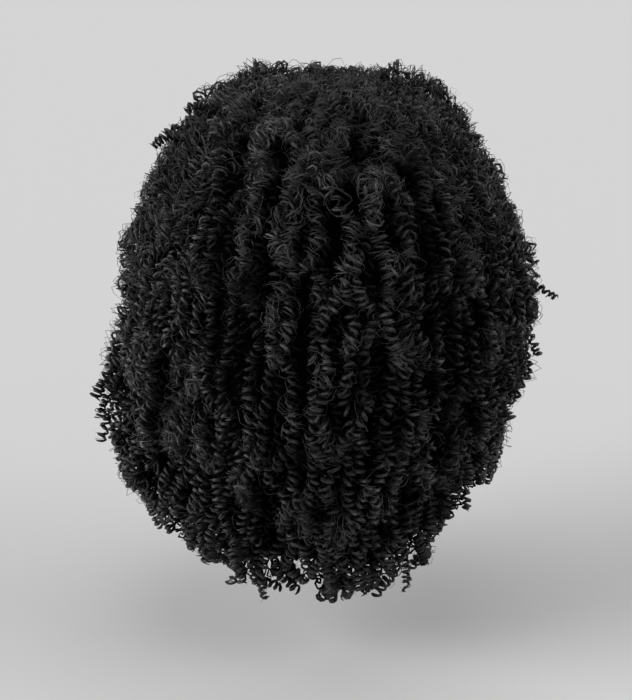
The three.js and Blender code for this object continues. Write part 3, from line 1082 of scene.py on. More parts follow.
@dataclass(frozen=True)
class Condition:
    """Where the hair has come loose, and where it is painted shaded or lit. Turns and angles are in degrees.

    A state at the crown dies out at its end, and one further down sets in at its start. A fade is how far
    a state takes between nothing and its full strength. A half is the distance to each side of a turn
    over which it fades away, and a core of more than 1 holds its full strength near the middle.
    """

    patches: Ripple = Ripple(71, waves=9, around=12, down=9.0)
    fluff_everywhere: float = 0.12
    fluff_in_patches: float = 0.3
    fluff_at_crown: float = 0.6
    crown_end: float = 90.0
    crown_fade: float = 40.0
    fluff_at_left: float = 0.35
    left_turn: float = 255.0
    left_half: float = 50.0
    # Painted shade towards the crown
    crown_shade_share: float = 0.16
    crown_shade_end: float = 60.0
    crown_shade_fade: float = 40.0
    # Painted light on the loose hair low on the left
    painted_light: float = 0.6
    painted_light_turn: float = 250.0
    painted_light_half: float = 28.0
    painted_light_core: float = 1.4
    painted_light_start: float = 98.0
    painted_light_fade: float = 22.0
    # Painted shade deep in the folds, between the darkest and the lightest share
    lightest: float = 1.3
    fold_shade: float = 0.15
    darkest: float = 0.1

    def fluff_at(self, turn: float, angle: float) -> float:
        """Tells how far a lock has come loose. The crown and the left side are the fluffiest.

        Args:
            turn: Degrees round the head.
            angle: Degrees down from the crown.

        Returns:
            A share from 0 for a tight lock to 1.
        """
        crown = smooth_step((self.crown_end - angle) / self.crown_fade)
        left = smooth_step(1 - abs(turn - self.left_turn) / self.left_half)
        fluff = self.fluff_everywhere + self.fluff_in_patches * float(self.patches.at(turn, angle))
        return float(np.clip(fluff + self.fluff_at_crown * crown + self.fluff_at_left * left, 0, 1))

    def shade_along(self, line: np.ndarray) -> np.ndarray:
        """Tells how light a lock is along its line.

        Painted shade darkens the hair deep in a fold and, a little, towards the crown, and painted light
        lightens the loose hair low on the left.

        Args:
            line: Points of the line.

        Returns:
            Shares of the lock's own lightness, one for each point.
        """
        away = line - HEAD_CENTRE
        turn = np.degrees(np.arctan2(away[:, 0], away[:, 1]))
        angle = np.degrees(np.arctan2(np.hypot(away[:, 0], away[:, 1]), away[:, 2]))
        # Painted shade towards the crown and in the folds, and painted light low on the left
        crown_shade = self.crown_shade_share * smooth_step((self.crown_shade_end - angle) / self.crown_shade_fade)
        beside = np.abs(turn % FULL_TURN - self.painted_light_turn) / self.painted_light_half
        loose = self.painted_light * smooth_step(self.painted_light_core - beside)
        loose = loose * smooth_step((angle - self.painted_light_start) / self.painted_light_fade)
        sunk = self.lightest - self.fold_shade * RELIEF.sink(turn, angle)
        return (1 - crown_shade + loose) * np.clip(sunk, self.darkest, 1.0)


CONDITION = Condition()


@dataclass
class LockRow:
    """One row of spring curls over its bed of packed hair. It stands for one CAD row.

    Jitter and drift are shares of the distance between two columns. Tones are shares of a lock's lightness,
    a relief is the share of the clumps and folds that a layer follows, and a part is the share of a lock
    that a strand runs along. What fluff does is the change from a tight lock to one that is fully loose.
    """

    node: str
    span: Span
    surface: RowSurface
    above: RowSurface | None
    seed: int
    spacing_mm: float = 11.3
    margin: float = 2.0
    probes: int = 30
    above_end: float = 4.0
    least_width: float = 0.85
    cover_mm: float = 13.0
    least_cover: float = 20.0
    below_top: float = 1.0
    least_angle: float = 2.5
    narrowing_angle: float = 30.0
    crowding: float = 0.5
    lock_mm: tuple[float, float] = (34.0, 80.0)
    overlap_mm: float = 11.0
    tip_mm: tuple[float, float] = (-9.0, 6.0)
    under_mm: float = 6.0
    under_short_mm: tuple[float, float] = (2.0, 14.0)
    under_root_mm: float = 1.0
    under_relief: float = 0.35
    # Painted shade: the strands of the layer under the outer locks are given a low tone
    under_tone: tuple[float, float] = (0.1, 0.35)
    bed_mm: float = 14.0
    bed_short_mm: float = 18.0
    bed_margin: float = 3.0
    bed_columns: int = 73
    bed_ring_columns: int = 91
    bed_steps: int = 13
    bed_relief: float = 0.6
    bed_off_mm: float = 0.3
    bed_wall_mm: float = 0.8
    wander_mm: float = 2.6
    sway: float = 0.6
    quick_sway: float = 0.6
    quicker: float = 2.2
    bob_mm: float = 0.8
    strands_beside: int = 1
    strands_round: tuple[int, int] = (2, 6)
    strands_tuft: int = 8
    tufted_share: float = 0.45
    tuft_start: tuple[int, int] = (24, 30)
    line_points: int = 40
    jitter: float = 0.25
    drift: float = 0.2
    deeper_mm: tuple[float, float] = (-1.0, 1.4)
    first_root_mm: float = 3.0
    next_root_mm: float = 6.0
    shortest_mm: float = 18.0
    joined_mm: float = 22.0
    wave_mm: tuple[float, float] = (24.0, 46.0)
    rise_mm: float = 22.0
    swirl: float = 14.0
    swirl_end: float = 32.0
    swirl_fade: float = 30.0
    tip_lean_mm: float = 2.2
    tip_run_mm: float = 14.0
    lowest_mm: float = 3.2
    lock_tone: tuple[float, float] = (0.5, 1.0)
    spring_tone: float = 0.86
    beside_tone: float = 0.85
    fuzz_tone: float = 0.78
    beside_part: tuple[float, float] = (0.6, 1.0)
    tuft_fluff: tuple[float, float] = (-1.0, 0.5)
    fluff_thins: float = 0.5
    fluff_tangles: float = 3.5
    # A loose lock's spring has lighter painted shade on its flanks and a wider painted highlight
    fluff_shows_flanks: float = 0.35
    fluff_spreads_light: float = 2.5
    fluff_thickens_fuzz: float = 0.35
    THINNING = (8, 4, 2, 1)
    UNDER_SEED, FUZZ_SEED = 50, 100

    def degrees(self, length_mm: float, turn: float, angle: float) -> float:
        """Turns a length down the row's outside into degrees down from the crown."""
        radius = float(self.surface.outer_at(turn, angle))
        return math.degrees(length_mm * MM / radius)

    def columns(self) -> np.ndarray:
        """Gives the turns of the locks that lie side by side where the row is widest.

        Returns:
            Degrees round the head, one for each column.
        """
        first, last = span_turns(self.span, self.margin)
        probe = np.linspace(first, last, self.probes)
        angle = np.array([self.surface.end_at(t) for t in probe]) - self.above_end
        radius = self.surface.outer_at(probe, angle)
        out = max((radius * np.sin(np.radians(angle))).mean(), self.least_width * radius.mean())
        count = round(math.radians(last - first) * out / (self.spacing_mm * MM))
        return first + (np.arange(count) + 0.5) * (last - first) / count

    def axis(
        self,
        rng: np.random.Generator,
        turn: float,
        start: float,
        end: float,
        depth_mm: float,
        root_mm: float,
        relief: float = 1.0,
    ) -> np.ndarray:
        """Gives the line that one lock follows.

        Args:
            rng: Random numbers of the batch.
            turn: Where the lock lies round the head, in degrees from the front.
            start: Angle down from the crown at its root.
            end: The same at its tip.
            depth_mm: How deep its axis lies under the row's outside.
            root_mm: How much deeper its root lies.
            relief: Share of the clumps and folds that the lock follows.

        Returns:
            Points in the row frame.
        """
        angle = np.linspace(start, end, self.line_points)
        run_mm = np.radians(angle - start) * self.surface.outer_at(np.full_like(angle, turn), angle) / MM
        left_mm = run_mm[-1] - run_mm
        lag, wave = rng.uniform(0, math.tau, 3), rng.uniform(*self.wave_mm, 2)
        sway = np.sin(run_mm / wave[0] * math.tau + lag[0])
        sway = sway + self.quick_sway * np.sin(run_mm / wave[1] * self.quicker * math.tau + lag[1])
        swirl = self.swirl * smooth_step((self.swirl_end - angle) / self.swirl_fade)
        tip = rng.normal(0, self.tip_lean_mm) * smooth_step(1 - left_mm / self.tip_run_mm)
        turns = turn + relief * RELIEF.lean(turn, angle) + swirl
        turns = turns + (self.wander_mm * self.sway * sway + tip) / RELIEF.across_mm(angle)
        deep = depth_mm + relief * RELIEF.sink(turns, angle)
        deep = deep + root_mm * (1 - smooth_step(run_mm / self.rise_mm))
        deep = deep + self.bob_mm * np.sin(run_mm / wave[1] * math.tau + lag[2])
        lowest = self.surface.inner_at(turns, angle) + self.lowest_mm * MM
        return from_head(turns, angle, np.maximum(self.surface.outer_at(turns, angle) - deep * MM, lowest))

    def first_angle(self, turn: float, rank: int, columns: int) -> float:
        """Gives the angle at which a column of locks sets in.

        Args:
            turn: Where it lies round the head.
            rank: Its place in the row. Where the row narrows towards the crown, only every second, fourth
                or eighth column goes on, so that the locks keep their distance.
            columns: How many columns the row has.

        Returns:
            Degrees down from the crown.
        """
        cover = self.above.end_at(turn) if self.above else 0.0
        start = cover - self.degrees(self.cover_mm, turn, max(cover, self.least_cover))
        start = max(start, self.surface.top_at(turn) + self.below_top, self.least_angle)
        share = next(k for k in self.THINNING if rank % k == 0)
        if self.span is not Span.RING:
            return start
        radius = float(self.surface.outer_at(turn, self.narrowing_angle))
        needed = self.crowding * self.spacing_mm * MM * columns / share / (math.tau * radius)
        return max(start, math.degrees(math.asin(min(1.0, needed))))

    def wind_lock(self, curls: CurlBatch, fuzz: CurlBatch, line: np.ndarray, fluff: float) -> None:
        """Winds all the strands of one lock of the outer layer.

        Args:
            curls: Takes the spring and the strands beside it.
            fuzz: Takes the fine hairs.
            line: Points that the lock follows.
            fluff: How far it has come loose, from 0 to 1.
        """
        rng = curls.rng
        lock = random_winding(rng, fluff)
        tone = rng.uniform(*self.lock_tone) * CONDITION.shade_along(line)
        # A loose lock's spring is thinner and more tangled, with lighter painted shade and a wider painted
        # highlight
        spring = replace(
            SPRING,
            width=SPRING.width * (1 - self.fluff_thins * fluff),
            tangle=SPRING.tangle * (1 + self.fluff_tangles * fluff),
            flank=SPRING.flank + self.fluff_shows_flanks * fluff,
            focus=SPRING.focus - self.fluff_spreads_light * fluff,
        )
        fine = replace(FUZZ, width=FUZZ.width * (1 + self.fluff_thickens_fuzz * fluff))
        curls.wind(line, spring, lock, self.spring_tone * tone)
        for _ in range(self.strands_beside):
            curls.wind(line, BESIDE, lock, self.beside_tone * tone, rng.uniform(*self.beside_part))
        fewest, most = self.strands_round
        for _ in range(round(fewest + fluff * (most - fewest))):
            fuzz.wind(line, fine, lock.loosened(fluff), self.fuzz_tone * tone)
        if rng.uniform() < self.tufted_share:
            first = int(rng.integers(*self.tuft_start))
            for _ in range(self.strands_tuft):
                loose = lock.loosened(rng.uniform(*self.tuft_fluff))
                fuzz.wind(line[first:], fine, loose, tone[first:])

    def wind_layer(self, curls: CurlBatch, fuzz: CurlBatch) -> None:
        """Winds the outer layer: down each column, each lock starts under the tip of the one before.

        Args:
            curls: Takes the springs and the strands beside them.
            fuzz: Takes the fine hairs.
        """
        turns = self.columns()
        step = turns[1] - turns[0]
        rng = curls.rng
        for rank, place in enumerate(turns):
            turn = float(place + rng.uniform(-self.jitter, self.jitter) * step)
            start = self.first_angle(turn, rank, len(turns))
            end = self.surface.end_at(turn)
            root_mm = self.first_root_mm
            while end - start > self.degrees(self.shortest_mm, turn, end):
                stop = start + self.degrees(rng.uniform(*self.lock_mm), turn, end)
                if stop > end - self.degrees(self.joined_mm, turn, end):
                    stop = end + self.degrees(rng.uniform(*self.tip_mm), turn, end)
                depth_mm = LOCK_REACH_MM + rng.uniform(*self.deeper_mm)
                line = self.axis(rng, turn, start, stop, depth_mm, root_mm)
                self.wind_lock(curls, fuzz, line, CONDITION.fluff_at(turn, (start + stop) / 2))
                start = stop - self.degrees(self.overlap_mm, turn, stop)
                turn += float(rng.uniform(-self.drift, self.drift) * step)
                root_mm = self.next_root_mm

    def wind_under(self, curls: CurlBatch) -> None:
        """Winds the layer under it, which shows in the gaps between the outer locks.

        Args:
            curls: Takes the strands.
        """
        turns = self.columns()
        step = turns[1] - turns[0]
        rng = curls.rng
        for rank, place in enumerate(turns):
            turn = float(place + (0.5 + rng.uniform(-self.drift, self.drift)) * step)
            start = self.first_angle(turn, rank, len(turns))
            end = self.surface.end_at(turn)
            end -= self.degrees(rng.uniform(*self.under_short_mm), turn, end)
            depth_mm = LOCK_REACH_MM + self.under_mm
            line = self.axis(rng, turn, start, end, depth_mm, self.under_root_mm, self.under_relief)
            curls.wind(line, UNDER, random_winding(rng), rng.uniform(*self.under_tone))

    def bed(self, material: bpy.types.Material) -> bpy.types.Object:
        """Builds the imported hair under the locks.

        Args:
            material: Its finish.

        Returns:
            The new object.
        """
        first, last = span_turns(self.span, self.bed_margin)
        closed = self.span is Span.RING
        turns = np.linspace(first, last, self.bed_ring_columns if closed else self.bed_columns)
        turns = turns[:-1] if closed else turns
        share = np.linspace(0, 1, self.bed_steps)
        tops = np.array([self.surface.top_at(t) + self.below_top for t in turns])
        ends = np.array([self.surface.end_at(t) for t in turns])
        ends = ends - np.array([self.degrees(self.bed_short_mm, t, e) for t, e in zip(turns, ends)])
        angle = tops[:, None] + share[None, :] * (ends - tops)[:, None]
        turn = np.broadcast_to(turns[:, None], angle.shape)
        deep = self.bed_mm + self.bed_relief * RELIEF.sink(turn, angle)
        inner = self.surface.inner_at(turn, angle) + self.bed_off_mm * MM
        least = inner + self.bed_wall_mm * MM
        outer = np.maximum(self.surface.outer_at(turn, angle) - deep * MM, least)
        return shell_object(
            self.node + "_bed",
            from_head(turn, angle, outer),
            from_head(turn, angle, inner),
            closed,
            material,
        )

    def build(
        self, hair: bpy.types.Material, shaded: bpy.types.Material, packed_shade: bpy.types.Material
    ) -> None:
        """Builds the row's curls, its fine hairs and its bed and settles them in the frame.

        Args:
            hair: Finish of the outer layer.
            shaded: Finish of the layer under it.
            packed_shade: Finish of the bed, the fibre painted near black as shade.
        """
        curls = CurlBatch(self.seed)
        under = CurlBatch(self.seed + self.UNDER_SEED)
        fuzz = CurlBatch(self.seed + self.FUZZ_SEED)
        self.wind_layer(curls, fuzz)
        self.wind_under(under)
        settle(curls.build(self.node + "_curls", hair), "hair", self.node)
        settle(under.build(self.node + "_under", shaded), "hair")
        settle(fuzz.build(self.node + "_frizz", hair), "hair")
        settle(self.bed(packed_shade), "hair")
        for name, batch in {"curls": curls, "under": under, "frizz": fuzz}.items():
            LOG.info("%s_%s: %d strands, %d triangles", self.node, name, len(batch.points), batch.triangles)


@dataclass(frozen=True)
class Notch:
    """A place where the hem ends higher, or hangs lower where its depth is less than nothing."""

    turn: float
    half_width: float
    depth_mm: float


# Along the back, from its left side as seen from behind to its right
HEM_NOTCHES = (
    Notch(247, 4.5, 15.0),
    Notch(238, 3.6, 26.0),
    Notch(226, 4.0, 7.0),
    Notch(217, 2.6, 9.0),
    Notch(208, 3.5, 22.0),
    Notch(198.5, 4.0, -22.0),
    Notch(188, 3.6, 24.0),
    Notch(171, 6.0, -24.0),
    Notch(157, 4.8, 18.0),
    Notch(152.5, 2.6, -5.0),
    Notch(147, 3.2, 25.0),
    Notch(140, 3.0, -9.0),
    Notch(130, 4.2, 30.0),
    Notch(112, 8.0, 30.0),
)


@dataclass
class NapeRow(LockRow):
    """The lowest row, which also shows its inside, its hem and its edges beside the face."""

    hem_clumps: Ripple = Ripple(53, waves=8, around=26, down=1.0)
    hem_clump_mm: float = 4.5
    hem_clump_rest: float = 0.7
    notches: tuple[Notch, ...] = HEM_NOTCHES
    core_shares: tuple[float, ...] = (0.35, 0.7)
    core_mm: float = 38.0
    free_mm: tuple[float, float] = (3.0, 14.0)
    ringlet_mm: float = 26.0
    ringlet_tightens: float = 0.7
    ringlet_looseness: float = 0.1
    beside_part: tuple[float, float] = (0.6, 0.95)
    hem_fluff: float = 0.2
    hem_fuzz_fluff: float = 0.5
    deeper_mm: tuple[float, float] = (-0.8, 1.4)
    short_mm: float = 9.0
    splay: float = 0.16
    droop: float = 0.5
    hem_spring_tone: float = 0.8
    ringlet_tone: float = 0.6
    hem_fuzz_tone: float = 0.6
    inside_tone: float = 0.5
    core_tone: float = 0.6
    inside_start: float = 8.0
    uneven: float = 5.0
    inside_points: int = 36
    inside_deeper_mm: float = 2.0
    inside_sway: float = 1.5
    inside_wave: float = 9.0
    core_points: int = 24
    core_jitter: float = 2.0
    core_sway: float = 1.2
    core_wave: float = 6.0
    INSIDE_SEED = 200

    def hem(self, turn: float) -> float:
        """Gives the angle of the hem at a turn.

        The locks end together in clumps, with notches between.

        Args:
            turn: Degrees round the head.

        Returns:
            Degrees down from the crown.
        """
        end = self.surface.end_at(turn)
        clump = float(np.clip(self.hem_clumps.at(turn, 0.0), -1, 1))
        short_mm = self.hem_clump_mm * (self.hem_clump_rest - clump)
        for notch in self.notches:
            short_mm += notch.depth_mm * math.exp(-(((turn - notch.turn) / notch.half_width) ** 2))
        return end - self.degrees(short_mm, turn, end)

    def hang(
        self, curls: CurlBatch, line: np.ndarray, free_mm: float, tone: float, beside: int = 1
    ) -> None:
        """Winds a lock whose spring goes on alone below its tip.

        Args:
            curls: Takes the strands.
            line: Points that the lock follows.
            free_mm: How far the spring goes on.
            tone: How light the lock is.
            beside: How many finer strands run along the spring.
        """
        rng = curls.rng
        way = line[-1] - line[-4]
        way = way / np.linalg.norm(way) + np.array([*rng.normal(0, self.splay, 2), -self.droop])
        way /= np.linalg.norm(way)
        thirds = np.array([[0.34], [0.67], [1.0]])
        spring = np.concatenate([line, line[-1] + way * free_mm * MM * thirds])
        lock = random_winding(rng, self.hem_fluff)
        from_end = np.cumsum(np.linalg.norm(np.diff(spring[::-1], axis=0), axis=1))
        last = len(spring) - int(np.searchsorted(from_end, self.ringlet_mm * MM)) - 1
        curls.wind(spring[: last + 1], SPRING, lock, self.hem_spring_tone * tone)
        pitch = self.ringlet_tightens * lock.pitch
        tight = replace(lock, pitch=pitch, looseness=self.ringlet_looseness)
        curls.wind(spring[max(last - 1, 0) :], RINGLET, tight, self.ringlet_tone * tone)
        for _ in range(beside):
            curls.wind(spring, BESIDE, lock, tone, rng.uniform(*self.beside_part))

    def wind_layer(self, curls: CurlBatch, fuzz: CurlBatch) -> None:
        """Winds the outer locks, whose springs hang free below their tips.

        Args:
            curls: Takes the springs and the strands beside them.
            fuzz: Takes the fine hairs.
        """
        rng = curls.rng
        turns = self.columns()
        step = turns[1] - turns[0]
        for place in turns:
            turn = float(place + rng.uniform(-self.drift, self.drift) * step)
            start = self.first_angle(turn, 0, len(turns))
            # A lock leans out of a fold, so the hem is read where its tip comes to lie
            tip_turn = turn + float(RELIEF.lean(turn, np.array([self.surface.end_at(turn)]))[0])
            end = self.hem(tip_turn) - self.degrees(rng.uniform(0, self.short_mm), turn, start)
            depth_mm = LOCK_REACH_MM + rng.uniform(*self.deeper_mm)
            line = self.axis(rng, turn, start, end, depth_mm, self.first_root_mm)
            self.hang(curls, line, rng.uniform(*self.free_mm), rng.uniform(*self.lock_tone))
            shade = self.hem_fuzz_tone * CONDITION.shade_along(line)
            for _ in range(self.strands_round[0]):
                fuzz.wind(line, FUZZ, random_winding(rng).loosened(self.hem_fuzz_fluff), shade)

    def wind_inside(self, curls: CurlBatch) -> None:
        """Winds the locks inside the row, down to the hem, and those that line it.

        Args:
            curls: Takes the strands.
        """
        rng = curls.rng
        turns = self.columns()
        for turn in turns[::2]:
            start = self.surface.top_at(turn) + self.inside_start
            angle = np.linspace(start, self.hem(turn) - rng.uniform(0, self.uneven), self.inside_points)
            inner = self.surface.inner_at(np.full_like(angle, turn), angle)
            radius = inner + (LOCK_REACH_MM + rng.uniform(0, self.inside_deeper_mm)) * MM
            sway = self.inside_sway * np.sin(angle / self.inside_wave + turn)
            line = from_head(turn + sway, angle, radius)
            self.hang(curls, line, rng.uniform(*self.free_mm), self.inside_tone, 0)
        for share in self.core_shares:
            for place in turns[::2]:
                turn = place + rng.uniform(-self.core_jitter, self.core_jitter)
                end = self.hem(turn) - rng.uniform(0, self.uneven)
                angle = np.linspace(end - self.degrees(self.core_mm, turn, end), end, self.core_points)
                there = np.full_like(angle, turn)
                inner = self.surface.inner_at(there, angle)
                radius = inner + share * (self.surface.outer_at(there, angle) - inner)
                sway = self.core_sway * np.sin(angle / self.core_wave + turn * 3)
                line = from_head(there + sway, angle, radius)
                self.hang(curls, line, rng.uniform(*self.free_mm), self.core_tone, 0)

    def build(
        self, hair: bpy.types.Material, shaded: bpy.types.Material, packed_shade: bpy.types.Material
    ) -> None:
        """Builds the row, and the locks inside it as a piece of their own.

        Args:
            hair: Finish of the outer layer and of the locks inside.
            shaded: Finish of the layer under the outer one.
            packed_shade: Finish of the bed, the fibre painted near black as shade.
        """
        super().build(hair, shaded, packed_shade)
        inside = CurlBatch(self.seed + self.INSIDE_SEED)
        self.wind_inside(inside)
        settle(inside.build("hem_curls", hair), "hair")
        LOG.info("hem_curls: %d strands, %d triangles", len(inside.points), inside.triangles)


@dataclass(frozen=True)
class StrayLine:
    """Thin spirals that stand off the hair, spread along a line from one place on it to another.

    Turns and angles are in degrees, and drop is how much lower down a tip is than its root.
    """

    count: int
    turn: float
    angle: float
    last_turn: float
    last_angle: float
    reach_mm: float
    drop: float


# Round the outline as the back shows it: down its left side, along the hem, and up its right side
STRAY_LINES = (
    StrayLine(3, 265, 30, 260, 45, 5.0, 8.0),
    StrayLine(3, 262, 110, 260, 120, 20.0, 8.0),
    StrayLine(8, 235, 130, 200, 145, 18.0, 5.0),
    StrayLine(3, 185, 145, 150, 145, 18.0, 4.0),
    StrayLine(4, 145, 140, 135, 120, 22.0, 8.0),
    StrayLine(4, 130, 115, 105, 85, 12.0, 6.0),
)


@dataclass
class StrayCurls:
    """The single spirals that stand off the hair.

    A spiral climbs out of the hair over its rooted share, and a flare above 1 makes it stand off late. Its
    spot is where it may lie in its own part of the line.
    """

    surfaces: list[RowSurface]
    lines: tuple[StrayLine, ...] = STRAY_LINES
    root_mm: float = 9.0
    coil_mm: tuple[float, float] = (2.2, 3.0)
    uneven: tuple[float, float] = (0.7, 1.2)
    pitch_mm: float = 4.0
    bow: float = 0.8
    bow_mm: float = 1.2
    steps: int = 20
    rooted: float = 0.4
    flare: float = 1.4
    looseness: float = 0.3
    tip_radius: float = 1.15
    beside_steps: tuple[int, ...] = (20, 18, 15)
    spot: tuple[float, float] = (0.2, 0.8)
    tone: float = 0.5
    seed: int = 7

    def radius_at(self, turn: float, angle: float) -> float:
        """Distance in millimetres from the middle of the head to the outside of the hair."""
        rows = [row for row in self.surfaces if row.top_at(turn) <= angle <= row.end_at(turn)]
        return max(float(row.outer_at(turn, angle)) for row in rows) / MM

    def wind(self, batch: CurlBatch, line: StrayLine, part: float) -> None:
        """Winds one spiral with its root inside the hair.

        Args:
            batch: Takes the strands.
            line: The line of strays that it is one of.
            part: How far along that line it stands, from 0 to 1.
        """
        rng = batch.rng
        root_turn = line.turn + part * (line.last_turn - line.turn)
        root_angle = line.angle + part * (line.last_angle - line.angle)
        share = np.linspace(0, 1, self.steps)
        bow = np.sin(share * math.pi)
        turn = root_turn + share * rng.normal() + self.bow * bow * rng.normal()
        angle = root_angle + share * line.drop * rng.uniform(*self.uneven)
        buried = self.root_mm * (1 - smooth_step(share / self.rooted))
        radius = self.radius_at(root_turn, root_angle) - buried
        reach = share**self.flare * line.reach_mm * rng.uniform(*self.uneven)
        radius = radius + reach + self.bow_mm * bow
        points = from_head(turn, angle, radius * MM)
        lock = replace(random_winding(rng), pitch=self.pitch_mm, radius=rng.uniform(*self.coil_mm))
        lock = replace(lock, looseness=self.looseness, tip_radius=self.tip_radius)
        batch.wind(points, FREE, lock, self.tone)
        for last in self.beside_steps:
            batch.wind(points[:last], BESIDE, lock, self.tone)

    def build(self, material: bpy.types.Material) -> bpy.types.Object:
        """Winds the spirals.

        Args:
            material: Their finish.

        Returns:
            One joined object.
        """
        batch = CurlBatch(self.seed)
        for line in self.lines:
            for place in range(line.count):
                self.wind(batch, line, (place + batch.rng.uniform(*self.spot)) / line.count)
        return batch.build("stray_curls", material)


@dataclass
class WeftStitches:
    """Stitches that hold the wefts, in lines round the inside of the cap."""

    cap: bpy.types.Object
    rows: list[LockRow]
    pitch_mm: float = 6.0
    length_mm: float = 3.6
    thickness_mm: float = 0.7
    taper: float = 0.3
    sides: int = 6
    below: float = 2.0
    margin: float = 4.0
    probes: int = 40
    cap_radius_mm: float = 80.0
    fewest: int = 8

    def template(self) -> bpy.types.Object:
        """Models one stitch by hand: a short rod with tapered ends.

        Returns:
            The stitch, at the origin.
        """
        bpy.ops.object.select_all(action="DESELECT")
        bpy.ops.mesh.primitive_cylinder_add(
            vertices=self.sides,
            radius=self.thickness_mm / 2 * MM,
            depth=self.length_mm * MM,
            end_fill_type="NGON",
        )
        obj = bpy.context.object
        bpy.ops.object.mode_set(mode="EDIT")
        bpy.ops.mesh.select_all(action="SELECT")
        bpy.ops.mesh.bevel(offset=self.thickness_mm * self.taper * MM, segments=1, affect="EDGES")
        bpy.ops.object.mode_set(mode="OBJECT")
        return obj

    def build(self, material: bpy.types.Material) -> bpy.types.Object:
        """Sets copies of the stitch along every weft.

        Args:
            material: The thread's finish.

        Returns:
            One joined object.
        """
        one = self.template()
        local = np.array([v.co for v in one.data.vertices])
        faces = [tuple(p.vertices) for p in one.data.polygons]
        bpy.data.objects.remove(one)
        tree = ray_tree(self.cap)
        points, polygons = [], []
        for row in self.rows:
            first, last = span_turns(row.span, self.margin)
            probe = np.linspace(first, last, self.probes)
            tops = np.array([row.surface.top_at(t) for t in probe]) + self.below
            radius_mm = self.cap_radius_mm * math.sin(math.radians(tops.mean()))
            count = max(self.fewest, round(math.radians(last - first) * radius_mm / self.pitch_mm))
            for turn in first + (np.arange(count) + 0.5) * (last - first) / count:
                angle = row.surface.top_at(turn) + self.below
                way = Vector(direction(turn, angle))
                place, normal, _, _ = tree.ray_cast(Vector(HEAD_CENTRE), way)
                if place is None:
                    continue
                along = way.cross(Vector((0, 0, 1))).normalized()
                across = normal.cross(along).normalized()
                turned = np.array([across, normal, along])
                points.append(np.array(place) + local @ turned)
                offset = (len(points) - 1) * len(local)
                polygons.extend([tuple(i + offset for i in f) for f in faces])
        made = bpy.data.meshes.new("weft_stitches")
        made.from_pydata(np.concatenate(points).tolist(), [], polygons)
        return add_object(made, material)


@dataclass(frozen=True)
class Lamp:
    """One very soft light from far away.

    Its turn is in degrees from the front towards the wearer's right, its height in degrees above the level,
    and its strength is the light on a surface that faces it, in watts on a square metre.
    """

    name: str
    turn: float
    height: float
    strength: float
    spread: float = 45.0
    distance: float = 3.0

    def build(self) -> None:
        """Adds the light."""
        data = bpy.data.lights.new(self.name, "SUN")
        data.angle = math.radians(self.spread)
        data.energy = self.strength
        obj = bpy.data.objects.new(self.name, data)
        bpy.context.scene.collection.objects.link(obj)
        away = Vector(direction(self.turn, 90.0 - self.height))
        obj.location = away * self.distance
        obj.rotation_euler = (-away).to_track_quat("-Z", "Y").to_euler()


LAMPS = (
    Lamp("key_lamp", 258, 17, 4.6),
    Lamp("fill_lamp", 95, 22, 1.7),
    Lamp("face_lamp", 10, 30, 0.7),
    Lamp("top_lamp", 0, 80, 0.6),
)


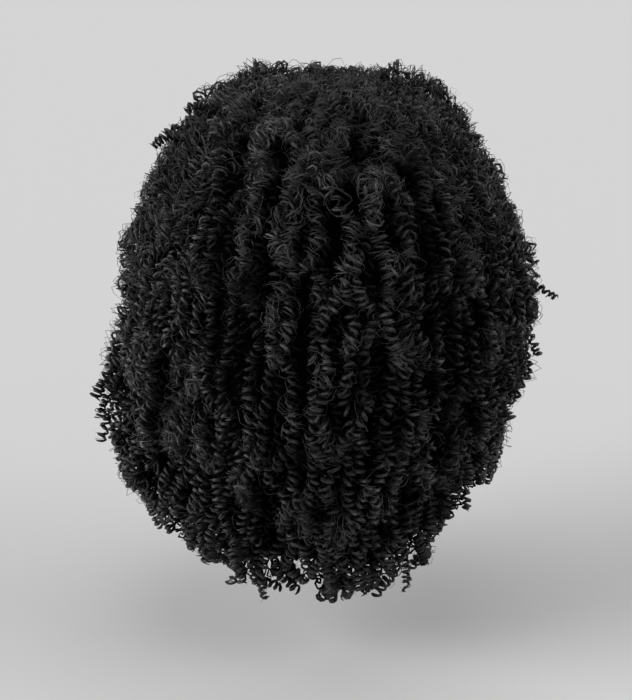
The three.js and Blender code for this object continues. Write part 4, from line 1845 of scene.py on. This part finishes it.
@dataclass(frozen=True)
class Studio:
    """Camera, floor and light. The camera stands behind the wearer and a little above the level."""

    elevation: float = 19.3
    distance: float = 1.5
    target: tuple[float, float, float] = (-0.0061, 0.0, -0.140)
    millimetres_a_pixel: float = 0.61
    frame_height: int = 700
    drop_pixels: float = 7.0
    sensor: float = 36.0
    floor_gap: float = 0.018
    floor_radius: float = 14.0
    sight: float = 60.0
    lamps: tuple[Lamp, ...] = LAMPS
    room_colour: str = "#e8e8e8"
    room_strength: float = 0.52

    def camera(self) -> bpy.types.Object:
        """Sets the camera.

        Returns:
            The scene's camera.
        """
        data = bpy.data.cameras.new("camera")
        obj = bpy.data.objects.new("camera", data)
        bpy.context.scene.collection.objects.link(obj)
        rise = math.radians(self.elevation)
        forward = Vector((0.0, math.cos(rise), -math.sin(rise)))
        obj.location = Vector(self.target) - forward * self.distance
        obj.rotation_euler = forward.to_track_quat("-Z", "Y").to_euler()
        data.sensor_width = self.sensor
        seen = self.frame_height * self.millimetres_a_pixel * MM
        data.lens = self.sensor * self.distance / seen
        data.shift_y = -self.drop_pixels / self.frame_height
        data.clip_end = self.sight
        bpy.context.scene.camera = obj
        return obj

    def floor(self, lowest: float, material: bpy.types.Material) -> bpy.types.Object:
        """Lays the floor a little below the hair's ends.

        Args:
            lowest: Height of the lowest point of the wig.
            material: The floor's finish.

        Returns:
            The floor.
        """
        bpy.ops.object.select_all(action="DESELECT")
        bpy.ops.mesh.primitive_circle_add(vertices=96, radius=self.floor_radius, fill_type="NGON")
        obj = bpy.context.object
        obj.name = "studio_floor"
        obj.data.transform(Matrix.Translation((0, 0, lowest - self.floor_gap)))
        obj.data.materials.append(material)
        obj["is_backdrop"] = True
        return obj

    def light(self) -> None:
        """Lights the wig softly from both sides, the front and above, with a pale room round it."""
        world = bpy.data.worlds.new("pale_room")
        world.use_nodes = True
        back = world.node_tree.nodes["Background"]
        back.inputs["Color"].default_value = linear(self.room_colour)
        back.inputs["Strength"].default_value = self.room_strength
        bpy.context.scene.world = world
        for lamp in self.lamps:
            lamp.build()
        view = bpy.context.scene.view_settings
        view.view_transform = "Standard"
        view.look = "None"


def main() -> None:
    """Builds the wig's looks in order, and logs how many rows' surfaces it read, the strands and triangles
    of the rows' curls, and how much the box grew.
    """
    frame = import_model()
    nodes = frame["nodes"]
    packed_low, packed_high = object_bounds()
    studio = Studio()
    studio.camera()
    hair, packed_shade, shaded, crown_shade = [finish.build() for finish in (HairFinish(), PACKED_SHADE, SHADED, CROWN_SHADED)]
    surfaces = {name: RowSurface(nodes[name]) for name in nodes if name.endswith("_locks")}
    LOG.info("surfaces of %d rows read", len(surfaces))
    rows = [
        LockRow("crown_locks", Span.RING, surfaces["crown_locks"], None, 1),
        LockRow("upper_locks", Span.RING, surfaces["upper_locks"], surfaces["crown_locks"], 2),
        LockRow("middle_locks", Span.SIDES_AND_BACK, surfaces["middle_locks"], surfaces["upper_locks"], 3),
        LockRow("lower_locks", Span.SIDES_AND_BACK, surfaces["lower_locks"], surfaces["middle_locks"], 4),
        NapeRow("nape_locks", Span.SIDES_AND_BACK, surfaces["nape_locks"], surfaces["lower_locks"], 5),
        LockRow("fringe_locks", Span.FOREHEAD, surfaces["fringe_locks"], surfaces["upper_locks"], 6),
    ]
    for row in rows:
        row.build(hair, crown_shade if row.node == "crown_locks" else shaded, packed_shade)
    back = [row.surface for row in rows if row.span is not Span.FOREHEAD]
    settle(StrayCurls(back).build(hair), "hair")
    for name, finish in {"cap": NetFinish(), "edge_band": ElasticFinish()}.items():
        nodes[name].data.materials.clear()
        nodes[name].data.materials.append(finish.build())
    stitches = WeftStitches(nodes["cap"], rows)
    settle(stitches.build(ThreadFinish().build()), "net")
    studio.floor(packed_low.z, FloorFinish().build())
    studio.light()
    low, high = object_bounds()
    grown = [round((a - b) / MM, 1) for a, b in zip([*low, *high], [*packed_low, *packed_high])]
    LOG.info("box grew by %s mm", grown)


if __name__ == "__main__":
    logging.basicConfig(level=logging.INFO, format="%(name)s: %(message)s")
    main()
